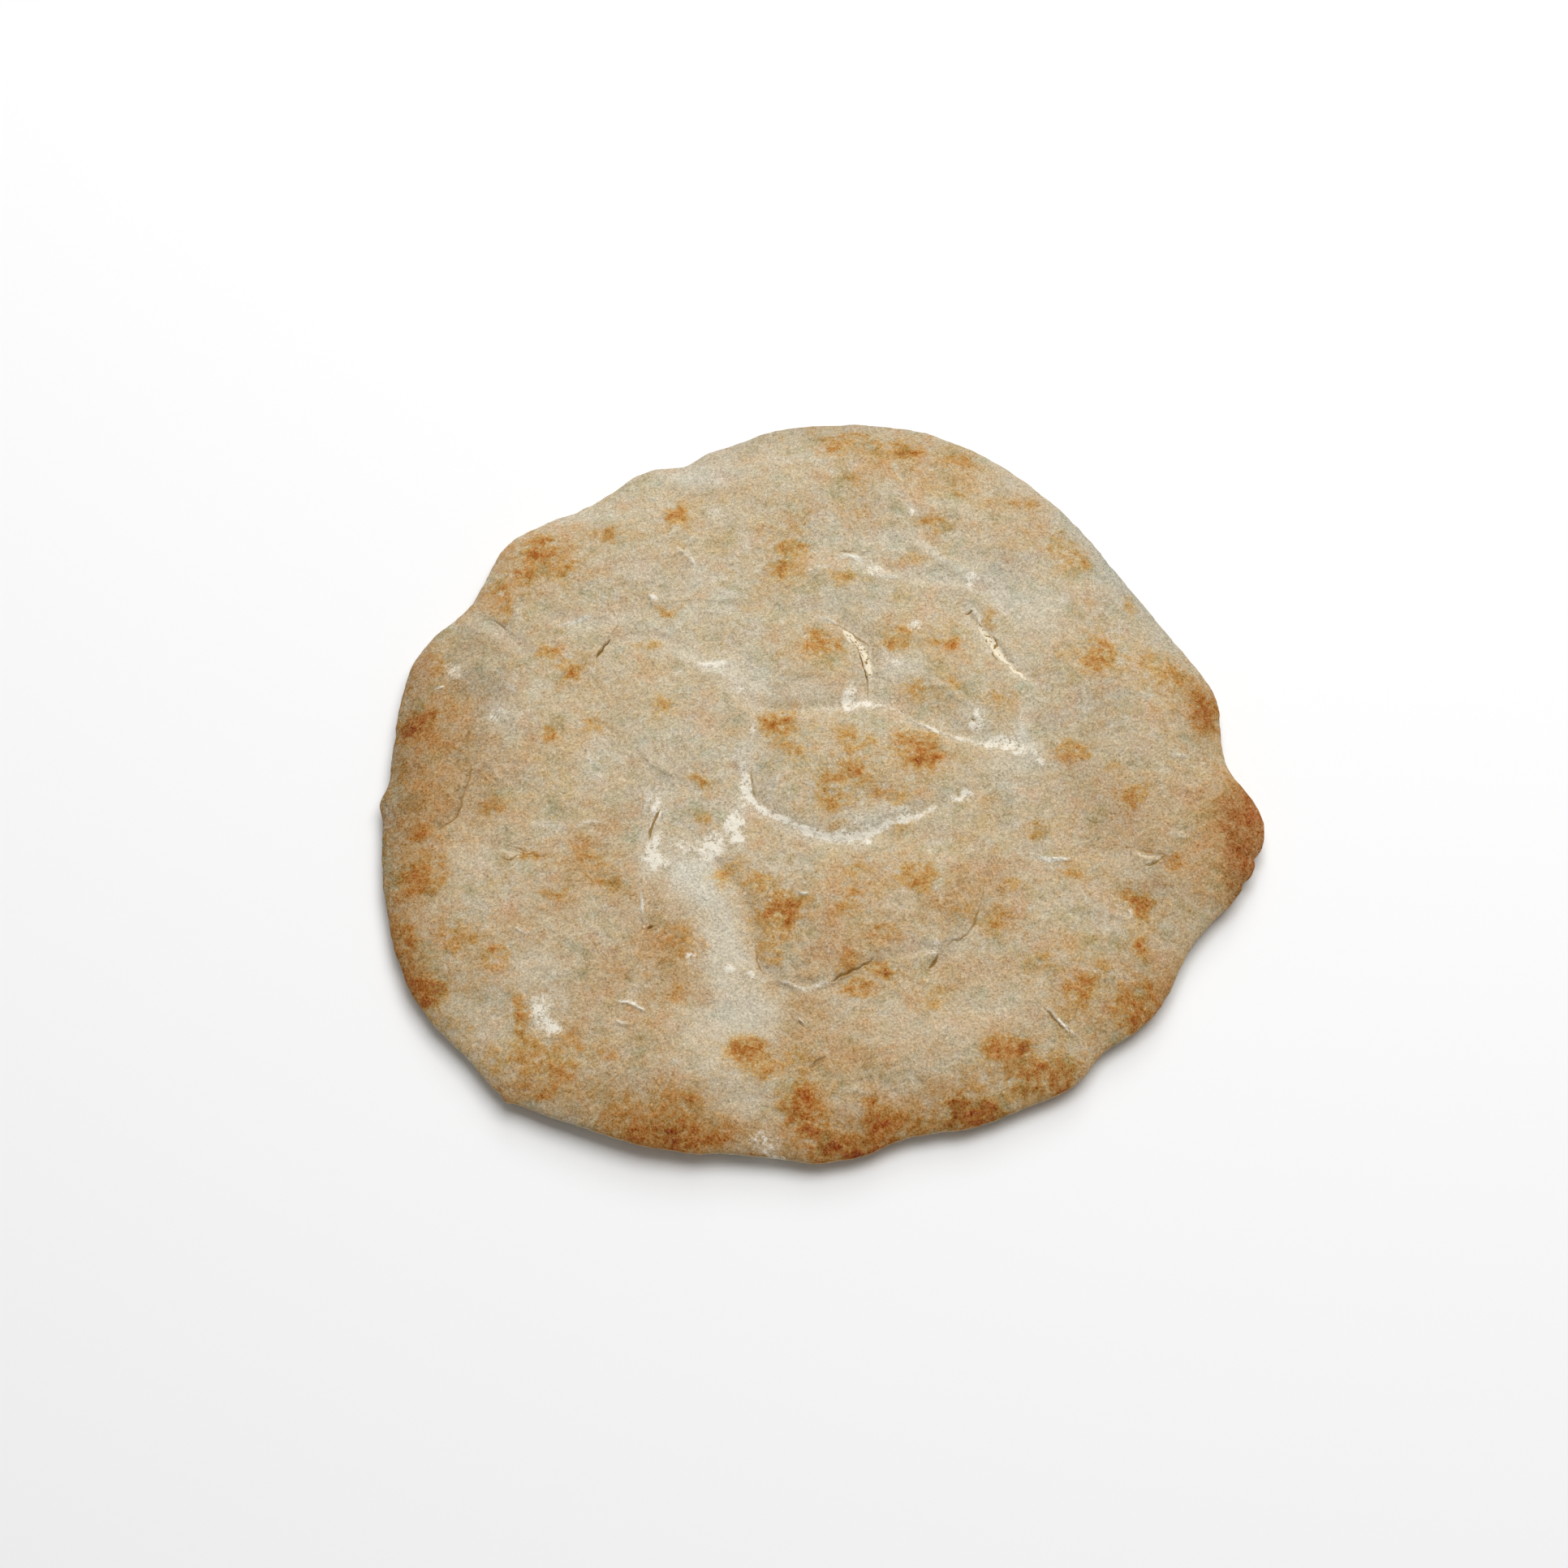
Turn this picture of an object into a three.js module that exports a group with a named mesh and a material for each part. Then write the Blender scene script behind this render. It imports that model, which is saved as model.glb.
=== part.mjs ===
// A plain pizza base: one hand-stretched round of dough, baked pale with puffed blisters, folds and cracks.
// Millimetres, +Z up. It lies on its flat underside, and the origin is below the middle of its outline.
// The top is a height above the plan: a rounded rim, plus blisters that rise and folds and cracks that sink.
import * as THREE from "three";

// Driving dimensions
const DISC_RADIUS = 133.5; // the round that was stretched, before its lobes and notches
const DISC_CENTRE = new THREE.Vector2(-7.9, -4.5); // its centre, seen from the middle of the whole outline
const TOP_HEIGHT = 13.5; // the crust between blisters
const EDGE_HEIGHT = 6; // the widest line of the rim, above the surface that it lies on
const TOP_ROUNDING = 27; // how far in from the edge the top curves over
const UNDER_ROUNDING = 11; // how far in from the edge the underside curves up
const RELIEF_FADE = 16; // how far in from the edge the relief reaches its full depth
const TOP_FULLNESS = 1.7; // of the rim's upper curve: below 2 it is flatter than an ellipse
const UNDER_FULLNESS = 2.2; // of its lower curve: above 2 it is squarer than an ellipse
const RINGS = 36; // of the triangle grid, from the middle out
const EDGE_STEP = 1.2; // a last narrow ring inside the edge, so that the rim turns over in small steps
const UNDER_STEPS = [0.08, 0.3, 0.6, 1]; // rings of the underside's curve, as shares of its width
const CREASE_SAMPLES = 14; // points that a crease's curve is measured at
const BLISTER_SOFTNESS = 1.3; // above 1 a blister's foot runs out smoothly into the crust

// Lobes and notches of the stretched edge.
// angle: degrees from +X; spread: half width in degrees; reach: outward.
const EDGE_LOBES = [
  { angle: 356, spread: 6.5, reach: 12 }, // the thin browned ear
  { angle: 347, spread: 7, reach: 9.5 }, // the ear's lower corner
  { angle: 14, spread: 7, reach: 5 },
  { angle: 35, spread: 11, reach: -2.5 },
  { angle: 71, spread: 19, reach: 7 },
  { angle: 100, spread: 5, reach: -3 },
  { angle: 107, spread: 4, reach: -5.5 }, // step where two folds of the rim meet
  { angle: 122, spread: 11, reach: -8 },
  { angle: 147, spread: 8, reach: -8 }, // pinched notch
  { angle: 175, spread: 13, reach: -4.5 },
  { angle: 182, spread: 2, reach: 1.5 },
  { angle: 213, spread: 13, reach: 5 },
  { angle: 231, spread: 6, reach: 5.5 }, // small nub
  { angle: 264, spread: 11, reach: -7 },
  { angle: 286, spread: 10, reach: -9 },
  { angle: 302, spread: 7, reach: -3.5 },
  { angle: 316, spread: 4, reach: -3 },
  { angle: 327, spread: 5, reach: 1.5 },
];

// Stretches of the rim that stand off the surface.
// lift: added to the edge's height; tuck, slope: added to the width of the lower and the upper curve.
const EDGE_LIFTS = [
  { angle: 246, spread: 16, lift: 2, tuck: 8, slope: 0 },
  { angle: 353, spread: 10, lift: 0.5, tuck: 6, slope: 12 },
];

// Puffed blisters. x, y: centre; long, short: half sizes; turn: degrees; rise: height above the crust.
const BLISTERS = [
  { x: 13, y: -1, long: 40, short: 26, turn: 4, rise: 3.2 },
  { x: -2, y: 39, long: 20, short: 18, turn: 0, rise: 1.9 },
  { x: -45, y: 21, long: 31, short: 26, turn: -35, rise: 2.2 },
  { x: 42, y: 36, long: 29, short: 21, turn: -40, rise: 2.1 },
  { x: 10, y: -51, long: 45, short: 26, turn: 8, rise: 2.8 },
  { x: -121, y: 4, long: 34, short: 20, turn: 80, rise: 3 },
  { x: 10, y: 103, long: 40, short: 19, turn: -4, rise: 1.8 },
  { x: -66, y: 78, long: 30, short: 17, turn: 35, rise: 1.8 },
  { x: -2, y: 68, long: 26, short: 12, turn: 0, rise: 1.6 },
  { x: -93, y: -54, long: 34, short: 27, turn: 60, rise: 2.2 },
  { x: -88, y: 18, long: 20, short: 28, turn: 10, rise: 1.6 },
  { x: 96, y: 20, long: 22, short: 36, turn: 20, rise: 1.8 },
  { x: 84, y: -58, long: 32, short: 24, turn: -35, rise: 1.8 },
  { x: 26, y: -98, long: 42, short: 15, turn: 6, rise: 1.6 },
  { x: -46, y: -98, long: 32, short: 17, turn: -20, rise: 1.8 },
];

// Folds, creases and cracks of the crust.
// depth: below the crust; half: half width; spots: x, y places that the line runs through.
const CREASES = [
  { depth: 1, half: 2.5, spots: [[-26, -2], [-20, -13], [-6, -22], [7, -25], [22, -20], [45, -9]] },
  { depth: 1, half: 2.5, spots: [[-19, 22], [-1, 21], [17, 24], [33, 14], [48, 10], [64, 8]] },
  { depth: 1.1, half: 2.2, spots: [[7, 53], [13, 46], [16, 36], [15, 25]] },
  { depth: 0.9, half: 2.5, spots: [[-69, 45], [-55, 48], [-34, 36], [-21, 21]] },
  { depth: 1.2, half: 2.4, spots: [[47, 59], [53, 47], [59, 39], [67, 33]] },
  { depth: 1, half: 2.5, spots: [[-31, -35], [-22, -49], [-20, -66], [-12, -75]] },
  { depth: 1, half: 2.5, spots: [[-12, -75], [2, -76], [15, -69], [32, -63]] },
  { depth: 1, half: 2.4, spots: [[34, -69], [46, -56], [50, -41], [50, -29]] },
  { depth: 1.1, half: 2.4, spots: [[-109, 17], [-110, -2], [-114, -16], [-120, -21]] },
  { depth: 1, half: 2.9, spots: [[-49, -6], [-54, -19], [-55, -36], [-55, -56]] },
  { depth: 0.7, half: 2.5, spots: [[-84, 54], [-71, 53], [-58, 58], [-50, 66]] },
  { depth: 0.7, half: 2.5, spots: [[8, 80], [17, 75], [26, 71], [48, 68], [62, 56]] },
  { depth: 1.1, half: 2.5, spots: [[-114, 58], [-104, 52], [-95, 43]] },
];

// The slow unevenness of stretched dough: one wave each way, the second slanting across the first.
const SWELL_HEIGHT = 0.5;
const SWELL_LENGTH = 62;
const SWELL_SLANT = 0.2;

const toRadians = THREE.MathUtils.degToRad;

// A bell of height 1 at the angle `at`, falling off over `spread`, all in degrees.
function bell(angle, at, spread) {
  const away = THREE.MathUtils.euclideanModulo(angle - at + 180, 360) - 180;
  return Math.exp(-((away / spread) ** 2));
}

// Sum over a list of bells round the edge of one of their sizes.
function roundTheEdge(list, size, angle) {
  return list.reduce((sum, item) => sum + item[size] * bell(angle, item.angle, item.spread), 0);
}

const edgeRadius = (angle) => DISC_RADIUS + roundTheEdge(EDGE_LOBES, "reach", angle);
const edgeHeight = (angle) => EDGE_HEIGHT + roundTheEdge(EDGE_LIFTS, "lift", angle);
const topRounding = (angle) => TOP_ROUNDING + roundTheEdge(EDGE_LIFTS, "slope", angle);
const underRounding = (angle) => UNDER_ROUNDING + roundTheEdge(EDGE_LIFTS, "tuck", angle);

// A quarter of a rounded arch: 0 at the edge, 1 from `width` inwards, upright at the edge.
function arch(inward, width, fullness) {
  const left = 1 - Math.min(inward / width, 1);
  return (1 - left ** fullness) ** (1 / fullness);
}

// A blister's height over x, y: a dome with a soft foot.
function blisterHeight({ x, y, long, short, turn, rise }, px, py) {
  const cos = Math.cos(toRadians(turn));
  const sin = Math.sin(toRadians(turn));
  const along = ((px - x) * cos + (py - y) * sin) / long;
  const across = ((py - y) * cos - (px - x) * sin) / short;
  const room = 1 - along * along - across * across;
  return room > 0 ? rise * room ** BLISTER_SOFTNESS : 0;
}

const creaseLines = CREASES.map(({ depth, half, spots }) => {
  const curve = new THREE.SplineCurve(spots.map(([x, y]) => new THREE.Vector2(x, y)));
  return { depth, half, points: curve.getPoints(CREASE_SAMPLES) };
});

// How far a crease sinks the crust at a place: deepest along its line, gone a few half widths away.
function creaseDepth({ depth, half, points }, place) {
  const nearest = new THREE.Vector3();
  const segment = new THREE.Line3();
  const here = new THREE.Vector3(place.x, place.y, 0);
  let least = Infinity;
  for (let i = 1; i < points.length; i++) {
    segment.start.set(points[i - 1].x, points[i - 1].y, 0);
    segment.end.set(points[i].x, points[i].y, 0);
    segment.closestPointToPoint(here, true, nearest);
    least = Math.min(least, nearest.distanceTo(here));
  }
  return depth * Math.exp(-((least / half) ** 2));
}

// The relief of the top: blisters up, creases down, on a slow swell.
function reliefAt(place) {
  const wave = (2 * Math.PI) / SWELL_LENGTH;
  const across = Math.cos((place.y + SWELL_SLANT * place.x) * wave);
  const swell = SWELL_HEIGHT * Math.sin(place.x * wave) * across;
  const tallest = BLISTERS.reduce((most, b) => Math.max(most, blisterHeight(b, place.x, place.y)), 0);
  const deepest = creaseLines.reduce((most, c) => Math.max(most, creaseDepth(c, place)), 0);
  return swell + tallest - deepest;
}

// A place in the plan, `share` of the way from the disc's centre to the edge at `angle` degrees.
function planPlace(share, angle) {
  const turn = toRadians(angle);
  const outward = new THREE.Vector2(Math.cos(turn), Math.sin(turn));
  return outward.multiplyScalar(share * edgeRadius(angle)).add(DISC_CENTRE);
}

function topPoint(share, angle) {
  const place = planPlace(share, angle);
  const inward = (1 - share) * edgeRadius(angle);
  const rim = edgeHeight(angle);
  const crown = rim + (TOP_HEIGHT - rim) * arch(inward, topRounding(angle), TOP_FULLNESS);
  const fade = THREE.MathUtils.smoothstep(inward, 0, RELIEF_FADE);
  return new THREE.Vector3(place.x, place.y, crown + fade * reliefAt(place));
}

function underPoint(share, angle) {
  const place = planPlace(share, angle);
  const inward = (1 - share) * edgeRadius(angle);
  const curve = arch(inward, underRounding(angle), UNDER_FULLNESS);
  return new THREE.Vector3(place.x, place.y, edgeHeight(angle) * (1 - curve));
}

// The closed skin of the base: a grid of rings over the top, the rim, and rings under it to a flat middle.
function baseGeometry() {
  const points = [];
  const faces = [];
  const add = (point) => points.push(point) - 1;
  const rimCount = 6 * RINGS;
  const rimAngles = Array.from({ length: rimCount }, (_, i) => (360 * i) / rimCount);

  // Ring k of the top has 6k points, so the triangles are all about the same size.
  let inner = [add(topPoint(0, 0))];
  for (let k = 1; k <= RINGS; k++) {
    const share = k === RINGS ? 1 - EDGE_STEP / DISC_RADIUS : k / RINGS;
    const ring = Array.from({ length: 6 * k }, (_, i) => add(topPoint(share, (60 * i) / k)));
    const before = inner;
    for (let side = 0; side < 6; side++) {
      for (let i = 0; i < k; i++) {
        const a = ring[side * k + i];
        const b = ring[(side * k + i + 1) % ring.length];
        const c = before[(side * (k - 1) + i) % before.length];
        faces.push(a, b, c);
        if (i > 0) faces.push(a, c, before[side * (k - 1) + i - 1]);
      }
    }
    inner = ring;
  }

  // From the last ring of the top over the edge and in to where the underside lies flat.
  const joinRings = (outer, next) => {
    for (let i = 0; i < rimCount; i++) {
      const j = (i + 1) % rimCount;
      faces.push(outer[i], next[i], next[j], outer[i], next[j], outer[j]);
    }
  };
  const edge = rimAngles.map((angle) => add(topPoint(1, angle)));
  joinRings(inner, edge);
  let outer = edge;
  for (const part of UNDER_STEPS) {
    const share = (angle) => 1 - (part * underRounding(angle)) / edgeRadius(angle);
    const next = rimAngles.map((angle) => add(underPoint(share(angle), angle)));
    joinRings(outer, next);
    outer = next;
  }
  const middle = add(underPoint(0, 0));
  outer.forEach((point, i) => faces.push(point, middle, outer[(i + 1) % rimCount]));

  const geometry = new THREE.BufferGeometry().setFromPoints(points).setIndex(faces);
  geometry.computeBoundingBox();
  const centre = geometry.boundingBox.getCenter(new THREE.Vector3());
  geometry.translate(-centre.x, -centre.y, 0);
  geometry.computeVertexNormals();
  return geometry;
}

const bakedDough = new THREE.MeshStandardMaterial({ color: 0xc6af88, roughness: 0.92, metalness: 0 });
const pizzaBase = new THREE.Mesh(baseGeometry(), bakedDough);
pizzaBase.name = "pizza_base";

const part = new THREE.Group();
part.add(pizzaBase);

export default part;
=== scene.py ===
"""Looks of a plain baked pizza base: one finer piece that keeps the solid's form, its crust, and a studio.

Sizes of the base are in millimetres, in the solid's own frame. They become metres where a mesh is made.
"""
import logging
import math
from dataclasses import dataclass, field
from enum import Enum
from typing import ClassVar, Iterable

import bpy
import numpy as np
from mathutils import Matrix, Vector


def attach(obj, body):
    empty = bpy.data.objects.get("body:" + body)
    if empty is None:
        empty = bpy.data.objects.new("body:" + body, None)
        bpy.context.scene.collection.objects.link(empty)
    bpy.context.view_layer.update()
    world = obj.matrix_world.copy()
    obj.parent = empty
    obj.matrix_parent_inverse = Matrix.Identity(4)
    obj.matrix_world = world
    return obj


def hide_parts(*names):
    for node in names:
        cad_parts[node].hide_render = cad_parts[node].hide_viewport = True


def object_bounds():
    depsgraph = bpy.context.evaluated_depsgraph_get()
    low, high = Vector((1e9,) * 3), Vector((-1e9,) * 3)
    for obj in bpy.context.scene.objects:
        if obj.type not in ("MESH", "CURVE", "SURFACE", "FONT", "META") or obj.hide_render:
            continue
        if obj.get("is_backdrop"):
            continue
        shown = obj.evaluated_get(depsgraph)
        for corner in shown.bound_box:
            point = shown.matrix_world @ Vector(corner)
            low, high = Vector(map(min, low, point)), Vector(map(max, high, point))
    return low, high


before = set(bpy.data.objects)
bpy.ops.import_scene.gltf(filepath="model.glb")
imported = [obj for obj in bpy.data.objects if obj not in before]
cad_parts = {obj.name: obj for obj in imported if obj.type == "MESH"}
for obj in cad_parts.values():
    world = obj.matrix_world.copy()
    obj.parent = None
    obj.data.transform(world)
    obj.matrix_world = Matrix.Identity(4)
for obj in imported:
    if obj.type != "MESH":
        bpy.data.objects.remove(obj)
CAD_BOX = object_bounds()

MM = 0.001
BODY = "root"
NODE = "pizza_base"
# Middle of the round in the plan
CENTRE = (-7.9, -4.5)
# Starts of the random draws, so that every run gives the same base
OUTLINE_SEED = 11
CRUST_SEED = 23
MARKING_SEED = 37
WRINKLE_SEED = 61

Socket = bpy.types.NodeSocket

log = logging.getLogger("pizza base")


class Slot(Enum):
    """Names of the material slots."""

    BAKED_DOUGH = "baked_dough"


class Layer(Enum):
    """What the mesh carries for its finish, point by point."""

    BROWNING = "browning"
    SCORCH = "scorch"
    # Painted shade: a grey that darkens the crust where it turns from the light
    PAINTED_SHADE = "painted_shade"
    FLOUR = "flour"
    FILM = "film"
    SLIT = "slit"
    TEAR = "tear"


class Step(Enum):
    """One step of arithmetic between sockets."""

    ADD = "ADD"
    SUBTRACT = "SUBTRACT"
    MULTIPLY = "MULTIPLY"
    MULTIPLY_ADD = "MULTIPLY_ADD"


class Mixing(Enum):
    """How one colour goes over another."""

    COVER = "MIX"
    MULTIPLY = "MULTIPLY"
    SOFT_LIGHT = "SOFT_LIGHT"


class Texture(Enum):
    """The crust's noises: the length of their humps in millimetres, their detail and their twist."""

    DUST = (0.6, 1.0, 0.8)
    STREAK = (0.75, 2.0, 0.6)
    GRAIN = (1.1, 2.0, 1.0)
    PIT = (1.2, 1.0, 0.0)
    SPECK = (2.3, 3.0, 0.6)
    FLECK = (4.6, 3.0, 0.0)
    DRIFT = (7.0, 2.0, 0.0)
    HUE = (9.0, 4.0, 0.0)
    MOTTLE = (11.0, 3.0, 0.0)
    CLOUD = (34.0, 3.0, 0.0)


Weights = tuple[tuple[Texture, float], ...]


def ease(share: np.ndarray) -> np.ndarray:
    """A share from 0 to 1 with a level start and end."""
    share = np.clip(share, 0.0, 1.0)
    return share * share * (3.0 - 2.0 * share)


def hump(away: np.ndarray, half: float | np.ndarray) -> np.ndarray:
    """A bell of height 1 and some half width, at distances from its middle."""
    return np.exp(-((away / half) ** 2))


def taper(along: np.ndarray, end: float = 0.02) -> np.ndarray:
    """How wide a line is along its length, 0 to 1: full in the middle, closing towards its ends."""
    return np.sqrt(np.sin(math.pi * np.clip(along, end, 1.0 - end)))


def linear(code: str) -> tuple[float, float, float, float]:
    """A web colour as the linear colour that shaders take.

    Args:
        code: Colour such as "#c9b48d".

    Returns:
        Red, green, blue and alpha.
    """
    parts = [int(code[i:i + 2], 16) / 255 for i in (1, 3, 5)]
    parts = [p / 12.92 if p <= 0.04045 else ((p + 0.055) / 1.055) ** 2.4 for p in parts]
    return (parts[0], parts[1], parts[2], 1.0)


class DoughNoise:
    """Smooth seeded unevenness over the plan."""

    SIDE = 256
    GAIN = 1.5

    def __init__(self, seed: int) -> None:
        """Draws the directions of the slopes that the noise is made from."""
        self.turns = np.random.default_rng(seed).random((self.SIDE, self.SIDE)) * 2 * math.pi

    def at(self, x: np.ndarray, y: np.ndarray, length: float) -> np.ndarray:
        """Noise between about -1 and 1.

        Args:
            x: Places along x.
            y: Places along y.
            length: Size of one hump and hollow together.

        Returns:
            One value for each place.
        """
        u, v = x / length, y / length
        column, row = np.floor(u).astype(int), np.floor(v).astype(int)
        u, v = u - column, v - row

        def pull(right: int, up: int) -> np.ndarray:
            """Height that one corner of the place's cell gives it."""
            turn = self.turns[(column + right) % self.SIDE, (row + up) % self.SIDE]
            return np.cos(turn) * (u - right) + np.sin(turn) * (v - up)

        low = pull(0, 0) + ease(u) * (pull(1, 0) - pull(0, 0))
        high = pull(0, 1) + ease(u) * (pull(1, 1) - pull(0, 1))
        return self.GAIN * (low + ease(v) * (high - low))


@dataclass(frozen=True)
class Bell:
    """A smooth rise round the edge: its angle and half width in degrees, and its size."""

    angle: float
    spread: float
    size: float

    def at(self, angle: np.ndarray) -> np.ndarray:
        """The rise at directions in degrees."""
        return self.size * hump((angle - self.angle + 180) % 360 - 180, self.spread)


@dataclass(frozen=True)
class Lift:
    """A stretch of the rim that stands off the surface, with wider curves under and over it."""

    angle: float
    spread: float
    lift: float
    tuck: float
    slope: float

    def share(self, angle: np.ndarray) -> np.ndarray:
        """How far directions in degrees belong to the stretch, 0 to 1."""
        return Bell(self.angle, self.spread, 1.0).at(angle)


@dataclass(frozen=True)
class Blister:
    """A puffed dome of crust: its centre, half sizes, turn in degrees and rise."""

    x: float
    y: float
    long: float
    short: float
    turn: float
    rise: float


@dataclass(frozen=True)
class Spot:
    """A soft patch on the crust: its centre, half sizes along x and y, and strength."""

    x: float
    y: float
    wide: float
    deep: float
    strength: float


def spots(*rows: tuple[float, float, float, float, float]) -> tuple[Spot, ...]:
    """Patches from rows of x, y, half size along x, half size along y, and strength."""
    return tuple(Spot(*row) for row in rows)


@dataclass(frozen=True)
class Seam:
    """A smooth line on the crust through the points of its course."""

    course: tuple[tuple[float, float], ...]

    STEPS: ClassVar[int] = 5

    @property
    def reach(self) -> float:
        """How far from the line places are still measured."""
        raise NotImplementedError

    def line(self) -> np.ndarray:
        """Points along the smooth line.

        Returns:
            Points, one row of x and y each.
        """
        course = np.array(self.course, float)
        padded = np.vstack([course[:1], course, course[-1:]])
        rows = []
        for i in range(len(course) - 1):
            before, start, end, after = padded[i:i + 4]
            for t in np.arange(self.STEPS) / self.STEPS:
                rows.append(0.5 * (2 * start + (end - before) * t
                                   + (2 * before - 5 * start + 4 * end - after) * t ** 2
                                   + (3 * start - before - 3 * end + after) * t ** 3))
        return np.vstack([rows, course[-1:]])

    def measure(self, plan: np.ndarray) -> tuple[np.ndarray, np.ndarray]:
        """Distances of places from the line.

        Args:
            plan: Places, one row of x and y each.

        Returns:
            Distances, positive on the line's left and endless where it is far off, and how far along the
            line the nearest point is, 0 to 1.
        """
        points = self.line()
        low, high = points.min(axis=0) - self.reach, points.max(axis=0) + self.reach
        within = ((plan > low) & (plan < high)).all(axis=1)
        near = plan[within]
        nearest = np.full(len(near), np.inf)
        side = np.ones(len(near))
        share_along = np.zeros(len(near))
        for i, (start, end) in enumerate(zip(points[:-1], points[1:])):
            run = end - start
            away = near - start
            share = np.clip(away @ run / (run @ run), 0.0, 1.0)
            gap = away - share[:, None] * run
            distance = np.hypot(gap[:, 0], gap[:, 1])
            closer = distance < nearest
            nearest[closer] = distance[closer]
            side[closer] = np.sign(run[0] * away[closer, 1] - run[1] * away[closer, 0])
            share_along[closer] = (i + share[closer]) / (len(points) - 1)
        distances, along = np.full(len(plan), np.inf), np.zeros(len(plan))
        distances[within] = nearest * np.where(side == 0, 1, side)
        along[within] = share_along
        return distances, along


@dataclass(frozen=True)
class Crease(Seam):
    """A fold, crease or crack.

    depth and half are the groove's depth and half width, and lip is how far the crust on the line's left
    stands above the other side. slit is the half width of an open line and dark how dark it is, tear is the
    half width of a torn opening and pale how pale it is, and flour how much flour lies in a fold.
    """

    depth: float = 0.0
    half: float = 3.0
    lip: float = 0.0
    slit: float = 0.0
    dark: float = 0.6
    tear: float = 0.0
    pale: float = 1.0
    flour: float = 0.0

    REACH: ClassVar[float] = 16.0

    @property
    def reach(self) -> float:
        """How far from the line places are still measured."""
        return self.REACH

    @property
    def is_open(self) -> bool:
        """Whether it is a crack and not a fold."""
        return self.slit > 0 or self.tear > 0


@dataclass(frozen=True)
class Ridge(Seam):
    """A thin raised line on the crust: its height, half width, and how much flour it carries, which on the
    crest is partly painted highlight.
    """

    height: float
    half: float
    flour: float

    HALVES: ClassVar[float] = 3.0

    @property
    def reach(self) -> float:
        """How far from the line places are still measured."""
        return self.HALVES * self.half


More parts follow.
